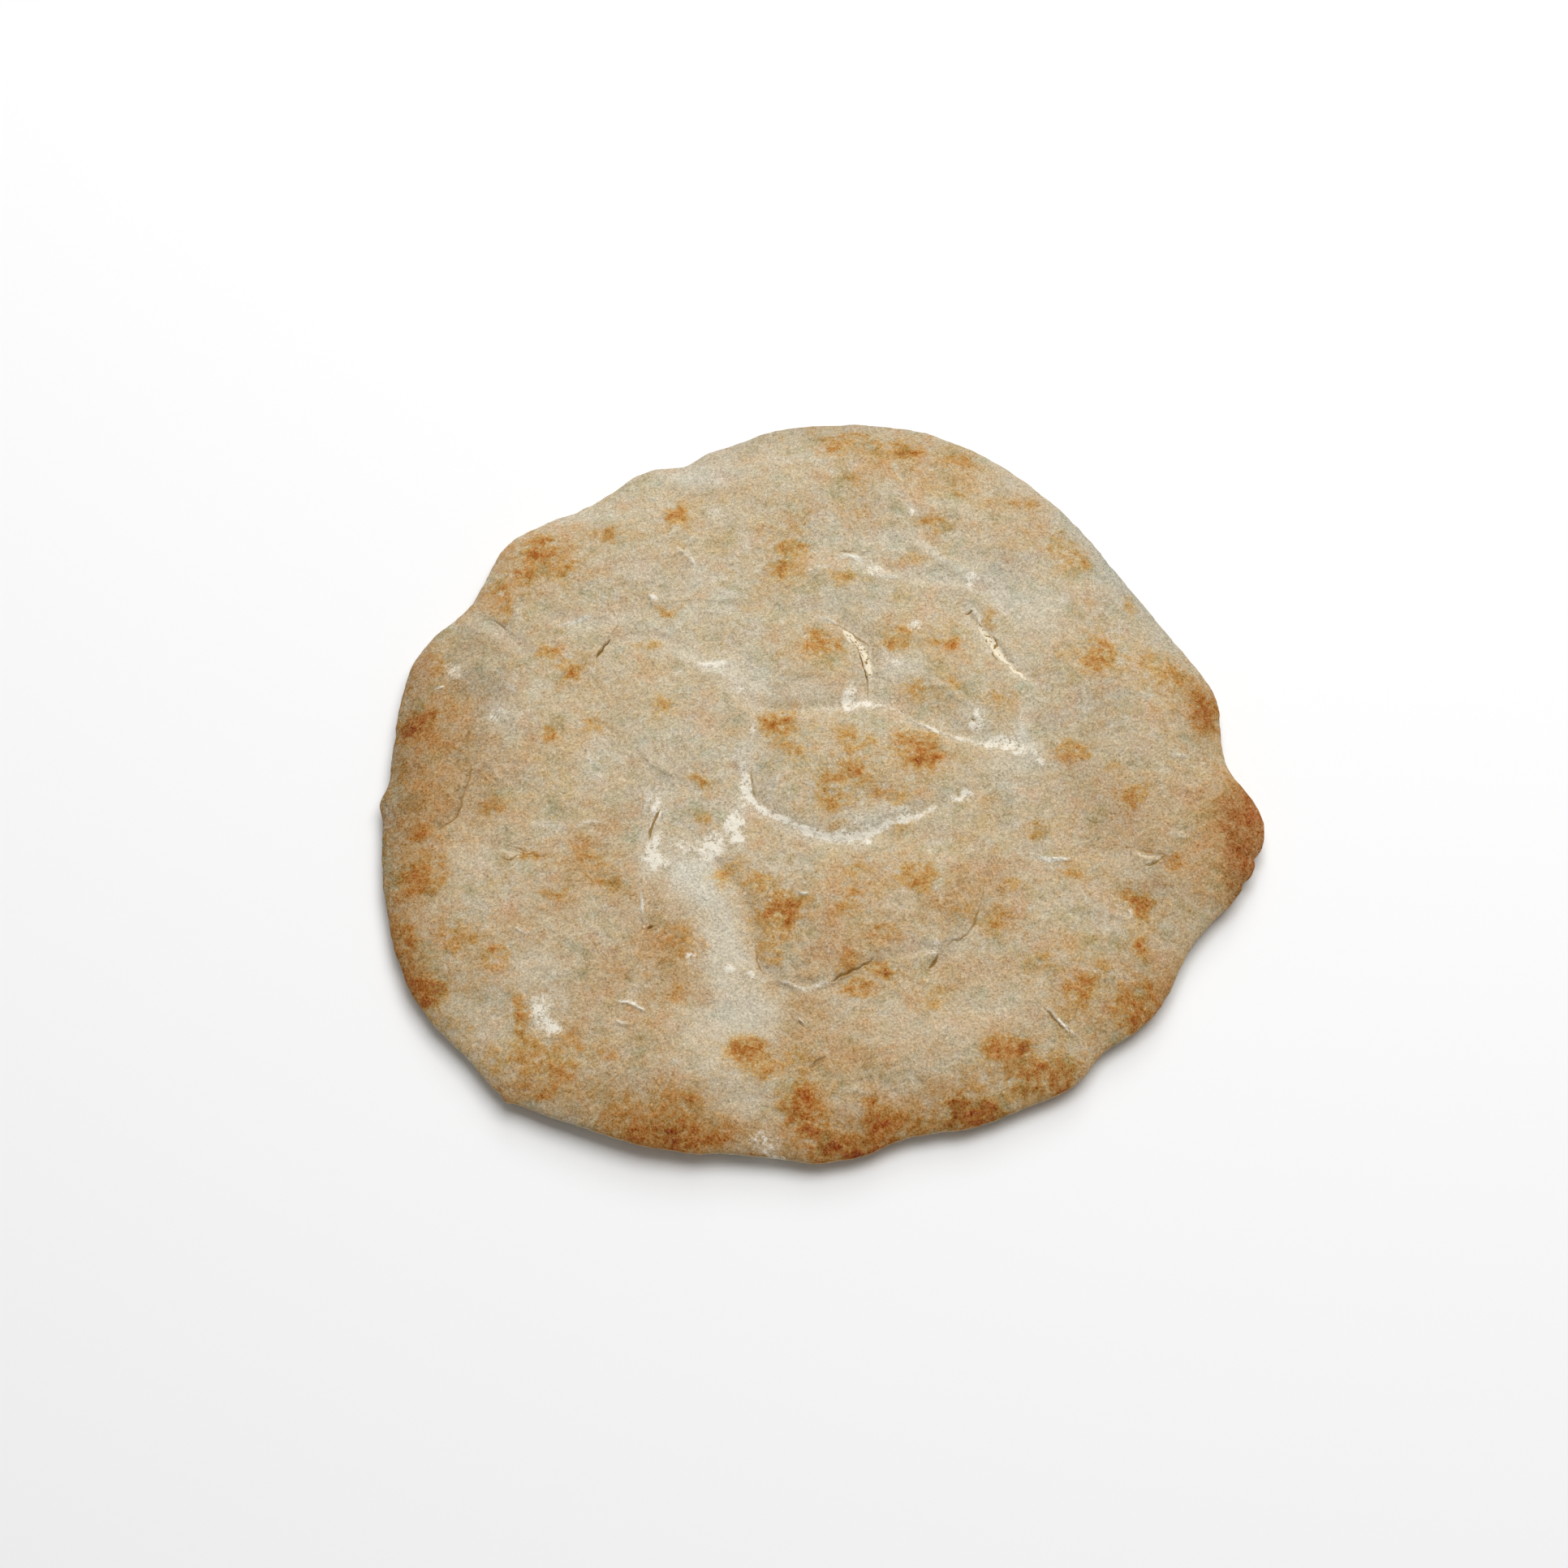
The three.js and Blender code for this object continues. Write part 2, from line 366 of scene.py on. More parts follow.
CREASES = (
    # Folds and creases that the solid has too
    Crease(((-26, -2), (-20, -13), (-6, -22), (7, -25), (22, -20), (45, -9)), 1.0, 2.5, lip=0.15, flour=1.2),
    Crease(((-19, 22), (-1, 21), (17, 24), (33, 14), (48, 10), (64, 8)), 1, 2.5, lip=-0.2, flour=0.5),
    Crease(((7, 53), (13, 46), (16, 36), (15, 25)), 1.1, 2.2),
    Crease(((-69, 45), (-55, 48), (-34, 36), (-21, 21)), 0.9, 2.5, flour=0.2),
    Crease(((47, 59), (53, 47), (59, 39), (67, 33)), 1.2, 2.4),
    Crease(((-31, -35), (-22, -49), (-20, -66), (-12, -75)), 1, 2.5, lip=0.3, flour=0.3),
    Crease(((-12, -75), (2, -76), (15, -69), (32, -63)), 1, 2.5, lip=0.3),
    Crease(((34, -69), (46, -56), (50, -41), (50, -29)), 1, 2.4, lip=0.2),
    Crease(((-109, 17), (-110, -2), (-114, -16), (-120, -21)), 1.1, 2.4),
    Crease(((-49, -6), (-54, -19), (-55, -36), (-55, -56)), 1, 2.9, flour=0.3),
    Crease(((-84, 54), (-71, 53), (-58, 58), (-50, 66)), 0.7, 2.5, flour=0.25),
    Crease(((8, 80), (17, 75), (26, 71), (48, 68), (62, 56)), 0.7, 2.5, flour=0.3),
    Crease(((-114, 58), (-104, 52), (-95, 43)), 1.1, 2.5),
    # Torn openings that are pale inside
    Crease(((6.7, 50.6), (10.2, 47), (13.4, 42.7), (15, 37.9), (15.1, 34.4)), 0.6, 0.3, tear=1.5),
    Crease(((50.8, 52.9), (53.5, 48.2), (55.9, 44.1), (57.9, 41), (61, 36.9), (64.9, 32.3)),
           0.6, 0.3, tear=1.3),
    Crease(((98.8, -29.9), (102.2, -31.3), (105.6, -31.3)), 0.4, 0.3, tear=0.9, pale=0.6),
    Crease(((-100.3, -29.1), (-97.3, -30.6), (-93.8, -31.1)), 0.4, 0.3, tear=0.9, pale=0.45),
    # Open lines and pits
    Crease(((9.5, 47.2), (11.6, 43.4), (13, 39), (14.2, 34.4), (14.9, 30.8), (14.9, 25.7)),
           0.8, 0.5, slit=0.28, dark=0.85),
    Crease(((5.6, 51.7), (8.7, 50.2), (11.7, 47.6), (15.6, 45)), 0.5, 0.5, slit=0.2, dark=0.65),
    Crease(((46.3, 56.8), (48.8, 57.8)), 0.7, 0.7, slit=0.5, dark=0.75),
    Crease(((55, 48.8), (55.7, 46.8), (56.6, 44.7)), 0.7, 0.6, slit=0.35, dark=0.75),
    Crease(((54.8, 42.3), (55.1, 40.4), (56.5, 38.6)), 0.7, 0.6, slit=0.4, dark=0.8),
    Crease(((60, 39), (62, 36.3), (64.5, 34.3)), 0.3, 0.5, slit=0.2, dark=0.5),
    Crease(((88.5, -27.2), (95.4, -28.1), (101.3, -29.4), (108.1, -31.1)), 0.3, 0.5, slit=0.15, dark=0.5),
    Crease(((99.6, -33.6), (102.1, -34.2), (104.6, -32.6), (107.1, -30.9)), 0.7, 0.6, slit=0.3, dark=0.8),
    Crease(((-99.9, -27.2), (-95.9, -28.6), (-91.9, -30.1)), 0.4, 0.5, slit=0.18, dark=0.6),
    Crease(((-100.2, -32.3), (-97.2, -32.8), (-94.6, -31.4)), 0.7, 0.6, slit=0.3, dark=0.75),
    Crease(((-98, -33), (-97.4, -35.5)), 0.3, 0.5, slit=0.15, dark=0.5),
    Crease(((-90.4, -31.6), (-86.4, -31.6), (-83.6, -27.7), (-81.2, -25.2)), 0.4, 0.7, slit=0.3, dark=0.3),
    Crease(((-64.3, 53.4), (-66.7, 49.2), (-68.2, 47.2)), 0.3, 0.5, slit=0.15, dark=0.4),
    Crease(((-67.9, 47), (-70.2, 43.1), (-71.9, 40.2)), 1.2, 0.8, slit=0.75, dark=0.85),
    Crease(((-110.6, 13.6), (-112.3, 9.5), (-111.4, 7)), 0.4, 0.7, slit=0.4, dark=0.4),
    Crease(((-110.5, 1), (-111, -3.5), (-112.8, -10.4), (-114.5, -16.8), (-117.4, -19.6),
           (-120.8, -21.8)), 0.6, 0.7, slit=0.35, dark=0.6),
    Crease(((-51.2, -14.9), (-53.1, -19.3), (-54, -24.7)), 0.9, 0.9, slit=0.7, dark=0.55),
    Crease(((-54.3, -56.2), (-52.5, -55.6)), 1.3, 1.0, slit=0.9, dark=0.65),
    Crease(((2.7, -74.7), (5.4, -73), (9.8, -70.9), (15.6, -67.3)), 0.8, 0.7, slit=0.5, dark=0.6),
    Crease(((51, -37.9), (49.5, -45.7), (48.1, -51), (46.3, -55.8), (43.5, -59.1), (40.6, -60.4),
           (38.3, -62.8)), 0.5, 0.6, slit=0.3, dark=0.6),
    Crease(((35.5, -64.9), (34.4, -67.2), (32.8, -69.8)), 0.8, 0.8, slit=0.6, dark=0.7),
    Crease(((-20.9, -59.1), (-20.5, -66.8), (-18.1, -71.5)), 0.4, 0.6, slit=0.2, dark=0.5),
    Crease(((-13.5, -38.5), (-15.7, -42.3), (-17.3, -46.2)), 0.4, 0.6, slit=0.3, dark=0.55),
    Crease(((-12.4, -83.4), (-9.2, -86.9), (-6.3, -90)), 0.3, 0.5, slit=0.15, dark=0.45),
    Crease(((-6.5, -87.9), (-4.8, -89.6), (-4, -91.3)), 0.3, 0.5, slit=0.18, dark=0.5),
    Crease(((0.7, -100), (-1.7, -102.2), (-4, -104.4)), 0.8, 0.9, slit=0.5, dark=0.5),
    Crease(((16.6, -100.3), (15.8, -101.1)), 0.3, 0.5, slit=0.2, dark=0.5),
    Crease(((6.1, 79.7), (8.9, 80), (11.7, 79.5)), 0.5, 0.6, slit=0.25, dark=0.6),
    Crease(((67.4, -83.4), (70.5, -86.9), (73.8, -90)), 0.5, 0.6, slit=0.25, dark=0.55),
    Crease(((74.8, -89.5), (76.2, -91.3)), 0.4, 0.5, slit=0.2, dark=0.5),
    Crease(((-22.2, 0), (-22, -6.4), (-20.8, -10.9)), 0.5, 0.6, slit=0.25, dark=0.5),
    Crease(((47.5, 17.2), (48.6, 16.6)), 0.6, 0.6, slit=0.4, dark=0.75),
    Crease(((-108.2, -94.6), (-109.5, -98.3)), 0.4, 0.5, slit=0.25, dark=0.55),
    Crease(((-106.4, 56), (-103.3, 53.6), (-100.7, 51.1)), 0.5, 0.7, slit=0.3, dark=0.45),
    Crease(((-18.7, -124.2), (-14, -125.8), (-9.2, -128.3)), 0.4, 0.6, slit=0.25, dark=0.5),
)

# Raised lines whose pale crests carry flour, partly painted highlight
RIDGES = (
    Ridge(((-21, -126.5), (-15, -129.5), (-9.5, -132)), 0.64, 0.7, 0.6),
    Ridge(((-4.1, 21.9), (2, 20.8), (9, 20)), 0.64, 0.8, 0.3),
    Ridge(((25, 19.9), (31, 15.6), (35.9, 13.2), (40.9, 11.4), (47.9, 10.5)), 0.64, 0.7, 0.4),
    Ridge(((-53.8, -7.4), (-54.7, -12.4), (-55.6, -17.3)), 0.64, 0.8, 0.5),
    Ridge(((-57.3, -35.9), (-56.4, -42.7), (-55.6, -49.5), (-55.3, -57.2)), 0.96, 0.7, 0.5),
    Ridge(((-85, 50.9), (-79, 53.4), (-74, 56.1)), 0.64, 0.8, 0.5),
    Ridge(((-55.8, 62.5), (-53.2, 61.3)), 0.48, 1.2, 0.6),
    Ridge(((-63.4, -81.3), (-58.5, -82.9), (-54.1, -85)), 0.64, 0.6, 0.9),
    Ridge(((-63.2, -88.5), (-59.3, -90)), 0.48, 0.6, 0.4),
    Ridge(((67.7, -31.4), (71.6, -32.3), (77, -33)), 0.64, 0.7, 0.7),
    Ridge(((-14, -73.7), (-8.2, -76.3), (-2.4, -76.8), (2.5, -74.9)), 0.64, 1.0, 0.45),
    Ridge(((68.7, -83.8), (72.4, -87.9), (77.6, -92.3)), 0.64, 0.7, 0.5),
    Ridge(((6.3, 78.7), (10.4, 77.7), (14.5, 75.3)), 0.64, 0.9, 0.6),
    Ridge(((13.9, 70.3), (19.5, 69.8), (26.7, 70.6)), 0.48, 0.8, 0.6),
    Ridge(((27.9, 85.8), (33.9, 80.5), (41, 75.3), (47, 70.6)), 0.48, 2.2, 0.3),
    Ridge(((-46.9, 80.5), (-42.7, 75.8), (-41.2, 72.6)), 0.48, 0.7, 0.4),
    Ridge(((-55.9, 101.2), (-52.2, 99.1)), 0.48, 0.7, 0.35),
    Ridge(((-7.7, -44.5), (-4.2, -45.7)), 0.48, 0.6, 0.6),
    Ridge(((-123.2, 29.6), (-120.2, 29.6)), 0.48, 0.7, 0.6),
    Ridge(((-56.7, 54.4), (-53.6, 51.3), (-50.5, 49.2)), 0.48, 0.8, 0.3),
    Ridge(((109.6, 5), (116.5, 4.5)), 0.48, 0.8, 0.4),
    Ridge(((109.4, -22.7), (114.3, -23.2)), 0.48, 0.8, 0.4),
    Ridge(((63.1, 19.6), (64.4, 11.6), (66.7, 5.5), (69.6, 1.5)), 0.48, 1.5, 0.45),
    Ridge(((46.9, 60.6), (49.8, 55.5), (51.7, 51.3)), 0.64, 1.0, 0.3),
    Ridge(((-0.4, 55), (3.1, 53.4), (6.2, 51.3)), 0.48, 0.7, 0.4),
    Ridge(((-20.1, 29.8), (-20.6, 21.6), (-21.6, 11.6), (-22.5, 2.5)), 0.64, 1.8, 0.35),
    Ridge(((-38.3, 38.5), (-30.2, 32.8), (-23.1, 25.7)), 0.8, 2.5, 0.35),
    Ridge(((-106.4, 23.7), (-101.3, 19.6), (-96.2, 17.6)), 0.48, 1.5, 0.3),
    Ridge(((-95, -57.2), (-92.1, -59.1), (-90.1, -59.1)), 0.48, 0.6, 0.3),
    Ridge(((-84.8, -75.3), (-81, -72.5), (-77.2, -71.1)), 0.48, 0.9, 0.3),
    Ridge(((84.8, -49.5), (89.6, -52.4), (94.5, -53.4)), 0.48, 0.8, 0.35),
    Ridge(((-7.8, -86.5), (-5.3, -89.9)), 0.48, 0.5, 0.4),
    Ridge(((-80.3, -21.3), (-86.2, -20.3), (-92.1, -21.3)), 0.48, 1.2, 0.25),
    Ridge(((39.2, 27.7), (44.1, 23.7), (50.1, 20.6)), 0.4, 1.2, 0.2),
    Ridge(((20.3, 46.8), (27.4, 48), (34.4, 45.7)), 0.4, 0.8, 0.2),
)

# Where the crust caught the heat in spots
BROWNED = spots(
    # Back left
    (-91, 82, 5.3, 4.6, 0.98), (-96.5, 72, 3, 3.6, 0.8), (-104.5, 66.5, 3.2, 3.6, 0.8),
    (-84, 73, 4.1, 4.1, 0.7), (-101, 58, 2.3, 4.2, 0.65), (-71, 85.5, 3.8, 2.2, 0.8),
    (-47, 94, 3.6, 3.2, 0.95), (-49, 58, 3.9, 1.2, 0.6),
    # Back
    (21, 118, 6, 4, 0.35), (7, 125, 6.2, 2, 0.6), (8, 120, 4.1, 2.6, 0.45), (29, 120, 6.7, 3.2, 0.6),
    (45, 116, 3.6, 4.1, 0.52), (37, 114, 9, 5, 0.12), (44, 104, 2, 1.4, 0.45), (11, 106, 2.1, 2.6, 0.35),
    (-8, 89, 2.6, 2.2, 0.35), (-10, 80, 3.4, 3, 0.8), (-12, 72, 4.6, 3.2, 0.75), (37, 90, 3.9, 1.2, 0.65),
    (7, 69, 3.6, 2.6, 0.5), (25, 47, 4.4, 2.8, 0.8), (40, 46, 4, 2.6, 0.65), (29, 76, 4.1, 2.9, 0.35),
    (54, 54, 2.3, 3.5, 0.45),
    # Back right
    (67, 100, 4.1, 2.6, 0.5), (79, 84, 3.3, 3.5, 0.55), (83, 76, 3.3, 4.7, 0.6), (100, 60, 2.3, 4.7, 0.5),
    # Left
    (-80, 36, 3.6, 3.5, 0.85), (-87, 41, 3.6, 2, 0.6), (-123, 40, 5.7, 4.1, 0.4),
    (-129, 16, 6.2, 5.8, 0.9), (-133, 0, 2.3, 5.2, 0.5), (-74, 16, 3.6, 2.6, 0.55),
    (-86, 10, 2.8, 2.3, 0.7), (-105, -14, 2.9, 2.8, 0.65), (-126, -36, 6.9, 5.8, 0.75),
    (-125, -22, 3.6, 2.3, 0.5), (-90, -32, 2.8, 1.7, 0.6), (-73, -31, 4.1, 3.5, 0.55),
    (-65, -41, 4.4, 3.8, 0.6),
    # Middle
    (-56, 45, 5.1, 1.5, 0.5), (0, 44, 4.2, 3.8, 0.75), (30, 28, 3.1, 2.6, 0.6), (42, 29, 3.1, 3.8, 0.55),
    (-51, 21, 3.6, 2.9, 0.5), (-13, 15, 4.6, 4.9, 0.95), (-10, 5, 2.6, 3.2, 0.6), (10, 8, 5.2, 3.4, 0.45),
    (31, 5, 5.9, 5.2, 0.98), (8, -3, 4.4, 3.4, 0.75), (1, -6, 3.2, 4, 0.5), (4, -12, 5.4, 2.8, 0.5),
    (22, -11, 5.7, 2, 0.45), (6, -21, 2.3, 1.5, 0.5), (-38, -6, 2.8, 2.3, 0.8), (-37, -17, 2.3, 2.3, 0.6),
    (25, -22, 2.3, 2, 0.5), (-30, -37, 3.3, 3.2, 0.7), (-20, -41, 3.6, 2.6, 0.75),
    (11, -37, 3.6, 3.2, 0.5), (29, -39, 5.7, 4.9, 0.65), (59, -41, 2.6, 2, 0.55),
    (58, 24, 4.1, 3.5, 0.35),
    # Right, with the ear
    (89, 40, 5.4, 5.2, 0.95), (105, 40, 4.4, 2.9, 0.55), (112, 34, 5.7, 3.5, 0.42),
    (122, 23, 5.2, 6.2, 0.9), (80, 6, 4.2, 2.8, 0.75), (98, -10, 4, 4.4, 0.8), (68, -22, 2.3, 1.7, 0.5),
    (78, -37, 3.3, 2.3, 0.55), (110, -34, 4.4, 3.2, 0.55), (92, 0, 2.1, 1.7, 0.5),
    # Front left
    (-83, -46, 4.1, 2, 0.65), (-100, -100, 5, 4, 0.35), (-113, -59, 5.9, 3.8, 0.7),
    (-128, -59, 2.3, 5.2, 0.6), (-101, -66, 3.9, 3.2, 0.65), (-122, -76, 5.7, 5.2, 0.98),
    (-108, -89, 2.8, 2, 0.5), (-93, -88, 2.6, 7, 0.8), (-87, -100, 6.4, 4.2, 0.5),
    (-80, -104, 4, 3.6, 0.6), (-85, -110, 5.1, 2.3, 0.7), (-75, -95, 2.8, 2, 0.75),
    (-65, -100, 2.6, 2.3, 0.5), (-44, -61, 6, 5.4, 0.5), (-46, -79, 3.1, 4.1, 0.5),
    (-62, -115, 4.1, 2.6, 0.5), (-44, -116, 7.2, 5.6, 0.55), (-44, -126, 11.3, 4.1, 0.85),
    (-60, -122, 6, 4, 0.5),
    # Front
    (-13, -51, 5.8, 5.4, 0.98), (-16, -63, 2.6, 5.2, 0.65), (8, -49, 3.6, 3, 0.45),
    (6, -69, 3.6, 3.2, 0.6), (19, -58, 4.1, 2, 0.4), (19, -71, 4.4, 2.9, 0.9), (10, -77, 3.3, 2.6, 0.8),
    (-23, -98, 6.7, 3.5, 0.98), (-19, -104, 3.6, 2.6, 0.6), (-8, -100, 3.9, 2.6, 0.5),
    (-6, -115, 4.9, 4.9, 0.95), (16, -118, 3.2, 6, 0.95), (20, -119, 3.5, 3.5, 0.5),
    (-7, -117, 4, 5, 0.95), (-3, -124, 3.4, 3.4, 0.9), (3, -128, 4.5, 2.8, 0.95),
    (11, -129.5, 6, 2.6, 0.98), (20, -128, 6, 2.8, 0.98), (31, -127, 8, 2.6, 0.78),
    (34, -81, 3.3, 3.2, 0.5),
    # Front right
    (44, -50, 3.9, 2.9, 0.4), (54, -53, 4.4, 3.8, 0.65), (99, -48, 3.3, 4.4, 0.85),
    (69, -69, 5.1, 3.5, 0.4), (79, -77, 3.6, 4.7, 0.8), (86, -70, 2.8, 2, 0.45),
    (98, -63, 2.1, 2.3, 0.75), (93, -82, 5.1, 5.8, 0.7), (101, -84, 3.6, 7, 0.85),
    (58, -97, 6.7, 3.5, 0.98), (60, -104, 3.3, 4.4, 0.75), (70, -102, 6.2, 3.2, 0.65),
    (65, -108, 7.7, 2.9, 0.6), (41.5, -112.5, 5.5, 3.6, 0.9), (48, -119, 9.5, 4.2, 0.98),
    (59, -119, 5, 4, 0.6), (75, -84, 4, 3.4, 0.35), (74, -108, 3.9, 2, 0.85),
)

# Where flour lies in clumps
FLOURED = spots(
    # Back
    (50, 68, 2.2, 2.5, 0.75), (18, 73, 3.5, 2, 0.7), (30, 94, 1.8, 1.3, 0.7), (-35, 95, 3.5, 2.5, 0.4),
    (30, 51, 1.8, 2.3, 0.6),
    # Left
    (-117, 36, 3, 3.5, 0.4), (-102, 18, 2, 2, 0.5), (-97, 18, 2, 2, 0.4),
    # Middle
    (-52, -31, 2.7, 6.2, 0.75), (-44, -27, 2.5, 3, 0.4), (-35, -28, 4.2, 3.4, 0.75),
    (-27, -20, 2.2, 6, 0.95), (-24, -5, 2, 5, 0.9), (-52, -12, 1.2, 5, 0.6), (9, 25, 2, 4, 0.85),
    (13, 24, 4, 1.5, 0.7), (57, 9.5, 6, 2.4, 0.95), (49, 18, 2, 2.5, 0.6), (46, -9, 2, 1.8, 0.7),
    (43, -11, 2.5, 0.8, 0.7), (28, -18, 3, 1.5, 0.8), (23, -15, 4, 1.4, 0.5), (6, -25, 3.5, 1.6, 0.8),
    (15, -23, 2, 2.5, 0.6), (9, -20, 5, 2.5, 0.3), (-34, 37, 3.5, 1.5, 0.75), (1, -44, 1, 2.5, 0.3),
    (24, 37, 2, 2, 0.5),
    # Right, with the ear
    (69, 4, 1.5, 2.2, 0.6),
    # Front left
    (-87, -85, 3.8, 4.8, 0.6), (-83, -90, 3, 3, 0.6),
    # Front
    (-21, -72, 1.2, 1.2, 0.6), (-29, -71, 1.5, 1.5, 0.5), (34, -62, 3, 2.5, 0.5),
    (-18, -125.5, 4, 2.4, 0.45), (-40, -65, 1.2, 2, 0.6),
)

# Where a thin veil of flour lies
FILMED = spots(
    # Back left
    (-58, 72, 6, 4, 0.35), (-77, 97, 9, 5, 0.2),
    # Back
    (7, 63, 5, 4, 0.35), (58, 64, 4.5, 7, 0.5), (-39, 110, 11, 4.5, 0.6), (23, 84, 6, 3, 0.4),
    (-37, 69, 6, 4, 0.3), (47, 95, 6, 4, 0.2), (-32, 93, 6, 4, 0.3),
    # Back right
    (69, 58, 7, 6, 0.4),
    # Left
    (-108, -32, 7, 4.5, 0.35), (-103, 16, 5, 5, 0.45), (-117, 36, 4, 4, 0.45),
    # Middle
    (-40, -36, 7, 4.5, 0.95), (-35, -44, 5.5, 6.5, 0.95), (-43, -40, 4, 4, 0.6), (15, -19, 10, 3, 0.75),
    (52, 11.5, 6, 3, 0.6), (-6, 1, 5, 4, 0.3), (-5, 27, 7, 4, 0.45), (26, 36, 6.5, 5.5, 0.6),
    (-18, 30, 3, 3, 0.35), (-33, 36, 6, 3.5, 0.6), (-26, 30, 5, 4, 0.5), (-21, 20, 2.5, 8, 0.5),
    (-24, 6, 2.5, 6, 0.45), (60, 2, 9, 5, 0.35), (-60, 10, 20, 16, 0.15), (-20, 8, 1.5, 3, 0.3),
    (14, 26, 5, 2.5, 0.4),
    # Right, with the ear
    (68, -26, 4, 3, 0.3), (90, 0, 6, 5, 0.35), (64, 12, 2.5, 8, 0.45), (72, 2, 4, 3, 0.3),
    (84, 10, 6, 4, 0.15), (102, -15, 5, 7, 0.3), (96, -34, 7, 4, 0.4), (115, 16, 3, 4, 0.35),
    # Front left
    (-125, -52, 3.5, 5, 0.4), (-113, -82, 5, 4.5, 0.5), (-112, -103, 8, 6, 0.35), (-90, -72, 6, 6, 0.3),
    (-105, -92, 9, 5, 0.35),
    # Front
    (-29, -56, 6, 8, 0.95), (-28, -67, 6, 6, 0.9), (-28, -75, 6, 3.5, 0.8), (-23, -88, 11, 7, 0.65),
    (-35, -96, 7, 5, 0.4), (-29, -104, 8, 5, 0.45), (34, -93, 14, 6, 0.3), (-17, -126, 6, 4, 0.5),
    (9, -116, 4, 3, 0.2), (28, -104, 10, 5, 0.2), (24, -47, 4, 4, 0.3), (-24, -117, 5, 6, 0.35),
    (-33, -114, 3.5, 3, 0.2),
    # Front right
    (56, -86, 9, 6, 0.15), (48, -71, 6, 5, 0.25),
)

# Broad areas that are a little browner than the rest
TOASTED = spots(
    # Back left
    (-60, 60, 6, 5, 0.15), (-73, 87, 7, 5, 0.14), (-94, 78, 8, 6, 0.2), (-105, 64, 5, 6, 0.15),
    # Back
    (-28, 104, 6, 4, 0.15), (28, 113, 20, 8, 0.14),
    # Back right
    (63, 94, 9, 12, 0.14), (86, 57, 6, 6, 0.14),
    # Left
    (-124, 28, 10, 13, 0.3), (-122, 2, 9, 13, 0.3), (-124, -16, 10, 9, 0.34), (-128, -38, 7, 14, 0.25),
    (-109, 4, 7, 20, 0.24), (-104, -2, 7, 7, 0.12), (-63, -17, 7, 6, 0.2), (-73, -38, 14, 9, 0.17),
    (-97, -28, 6, 5, 0.18),
    # Middle
    (-59, -43, 5, 5, 0.2), (24, 20, 6, 4, 0.16), (-24, 17, 6, 5, 0.15), (-36, 30, 6, 4, 0.12),
    (50, -40, 6, 5, 0.22), (-6.5, -29, 5, 3, 0.2), (50, -39, 6, 7, 0.22),
    # Right, with the ear
    (94, -38, 8, 7, 0.15), (93, -20, 12, 10, 0.2), (84, -5, 9, 8, 0.16), (106, -29, 7, 6, 0.18),
    (118, 26, 8, 12, 0.15),
    # Front left
    (-110, -73, 8, 6, 0.24), (-128, -60, 7, 8, 0.25), (-130, -68, 5, 10, 0.4), (-58, -81, 7, 6, 0.18),
    (-101, -112, 6, 5, 0.3), (-87, -53, 8, 9, 0.2), (-70, -71, 9, 7, 0.25), (-49, -67, 9, 11, 0.26),
    (-52, -95, 7, 6, 0.2), (-87, -108, 12, 5, 0.14), (-66, -112, 9, 6, 0.32), (-42, -112, 7, 5, 0.2),
    # The patch at (-53, -53) is painted shade in a crease
    (-53, -53, 5, 6, 0.22), (-55, -127, 18, 6, 0.6), (-75, -88, 7, 6, 0.2),
    # Front
    (-18, -132, 7, 3, 0.62), (-26, -126, 6, 4, 0.25), (35, -52, 6, 5, 0.2), (1, -63, 6, 4, 0.2),
    (34, -97, 6, 4, 0.2), (-23, -50, 5, 7, 0.2), (-26, -72, 5, 5, 0.15), (-5, -88, 8, 6, 0.28),
    (-8, -78, 8, 6, 0.22), (2, -97, 10, 6, 0.28), (16, -101, 8, 5, 0.2), (24, -127, 22, 4, 0.4),
    (-39, -77, 5, 5, 0.18), (4, -57, 20, 14, 0.16),
    # Front right
    (41, -113, 5, 4, 0.3), (111, -71, 6, 8, 0.25), (56, -67, 7, 5, 0.2), (56, -87, 8, 5, 0.14),
    (42, -71, 7, 6, 0.28), (108, -79, 5, 10, 0.5), (98, -76, 8, 12, 0.2), (70, -83, 6, 5, 0.15),
    (72, -106, 14, 5, 0.25),
)

# Darker greyish patches of painted shade on the crust's puffs and dips
PAINTED_SHADE_SPOTS = spots(
    (-114, 48, 6, 6, 0.5), (-41, 105, 6, 4, 0.3), (61, 74, 7, 5, 0.35), (96, 62, 7, 6, 0.45),
    (-110, 30, 8, 6, 0.75), (-104, 22, 5, 5, 0.3), (-110, 45, 7, 5, 0.4), (-112, 6, 6, 8, 0.35),
    (-110, -12, 5, 6, 0.25), (-98, -28, 5, 4, 0.25), (-64, -17, 5, 5, 0.25), (55, -9, 4, 4, 0.35),
    (-17, -3, 4, 6, 0.35), (91, 24, 8, 7, 0.4), (122, 22, 6, 8, 0.4), (102, -43, 8, 6, 0.5),
    (80, -2, 7, 6, 0.35), (72, 17, 4, 5, 0.25), (92, -18, 8, 8, 0.3), (106, -30, 5, 5, 0.25),
    (10, -120, 4, 4, 0.4),
)

# The ear, evenly brown to its tip, and the darkest spots
SCORCHED = spots(
    (-129, 16, 4, 4, 0.15), (121, -28, 8, 17, 0.3), (134, -24, 7.5, 21, 0.85), (135, -12, 5, 7, 0.5),
    (130, -20, 4, 6, 0.35), (131, -44, 5, 8, 0.5), (127, -14, 5, 6, 0.25), (123, 23, 5, 8, 0.3),
    (-127, -76, 5, 6, 0.5), (-135, -53, 4, 6, 0.35), (16, -118, 3.5, 6, 0.4), (-6, -118, 5, 5, 0.3),
    (12, -131, 14, 2.5, 0.3), (-23, -98, 6, 3, 0.2), (46, -118, 6, 4, 0.35), (58, -97, 4, 2.5, 0.25),
    (48, -118, 8, 3, 0.2),
)


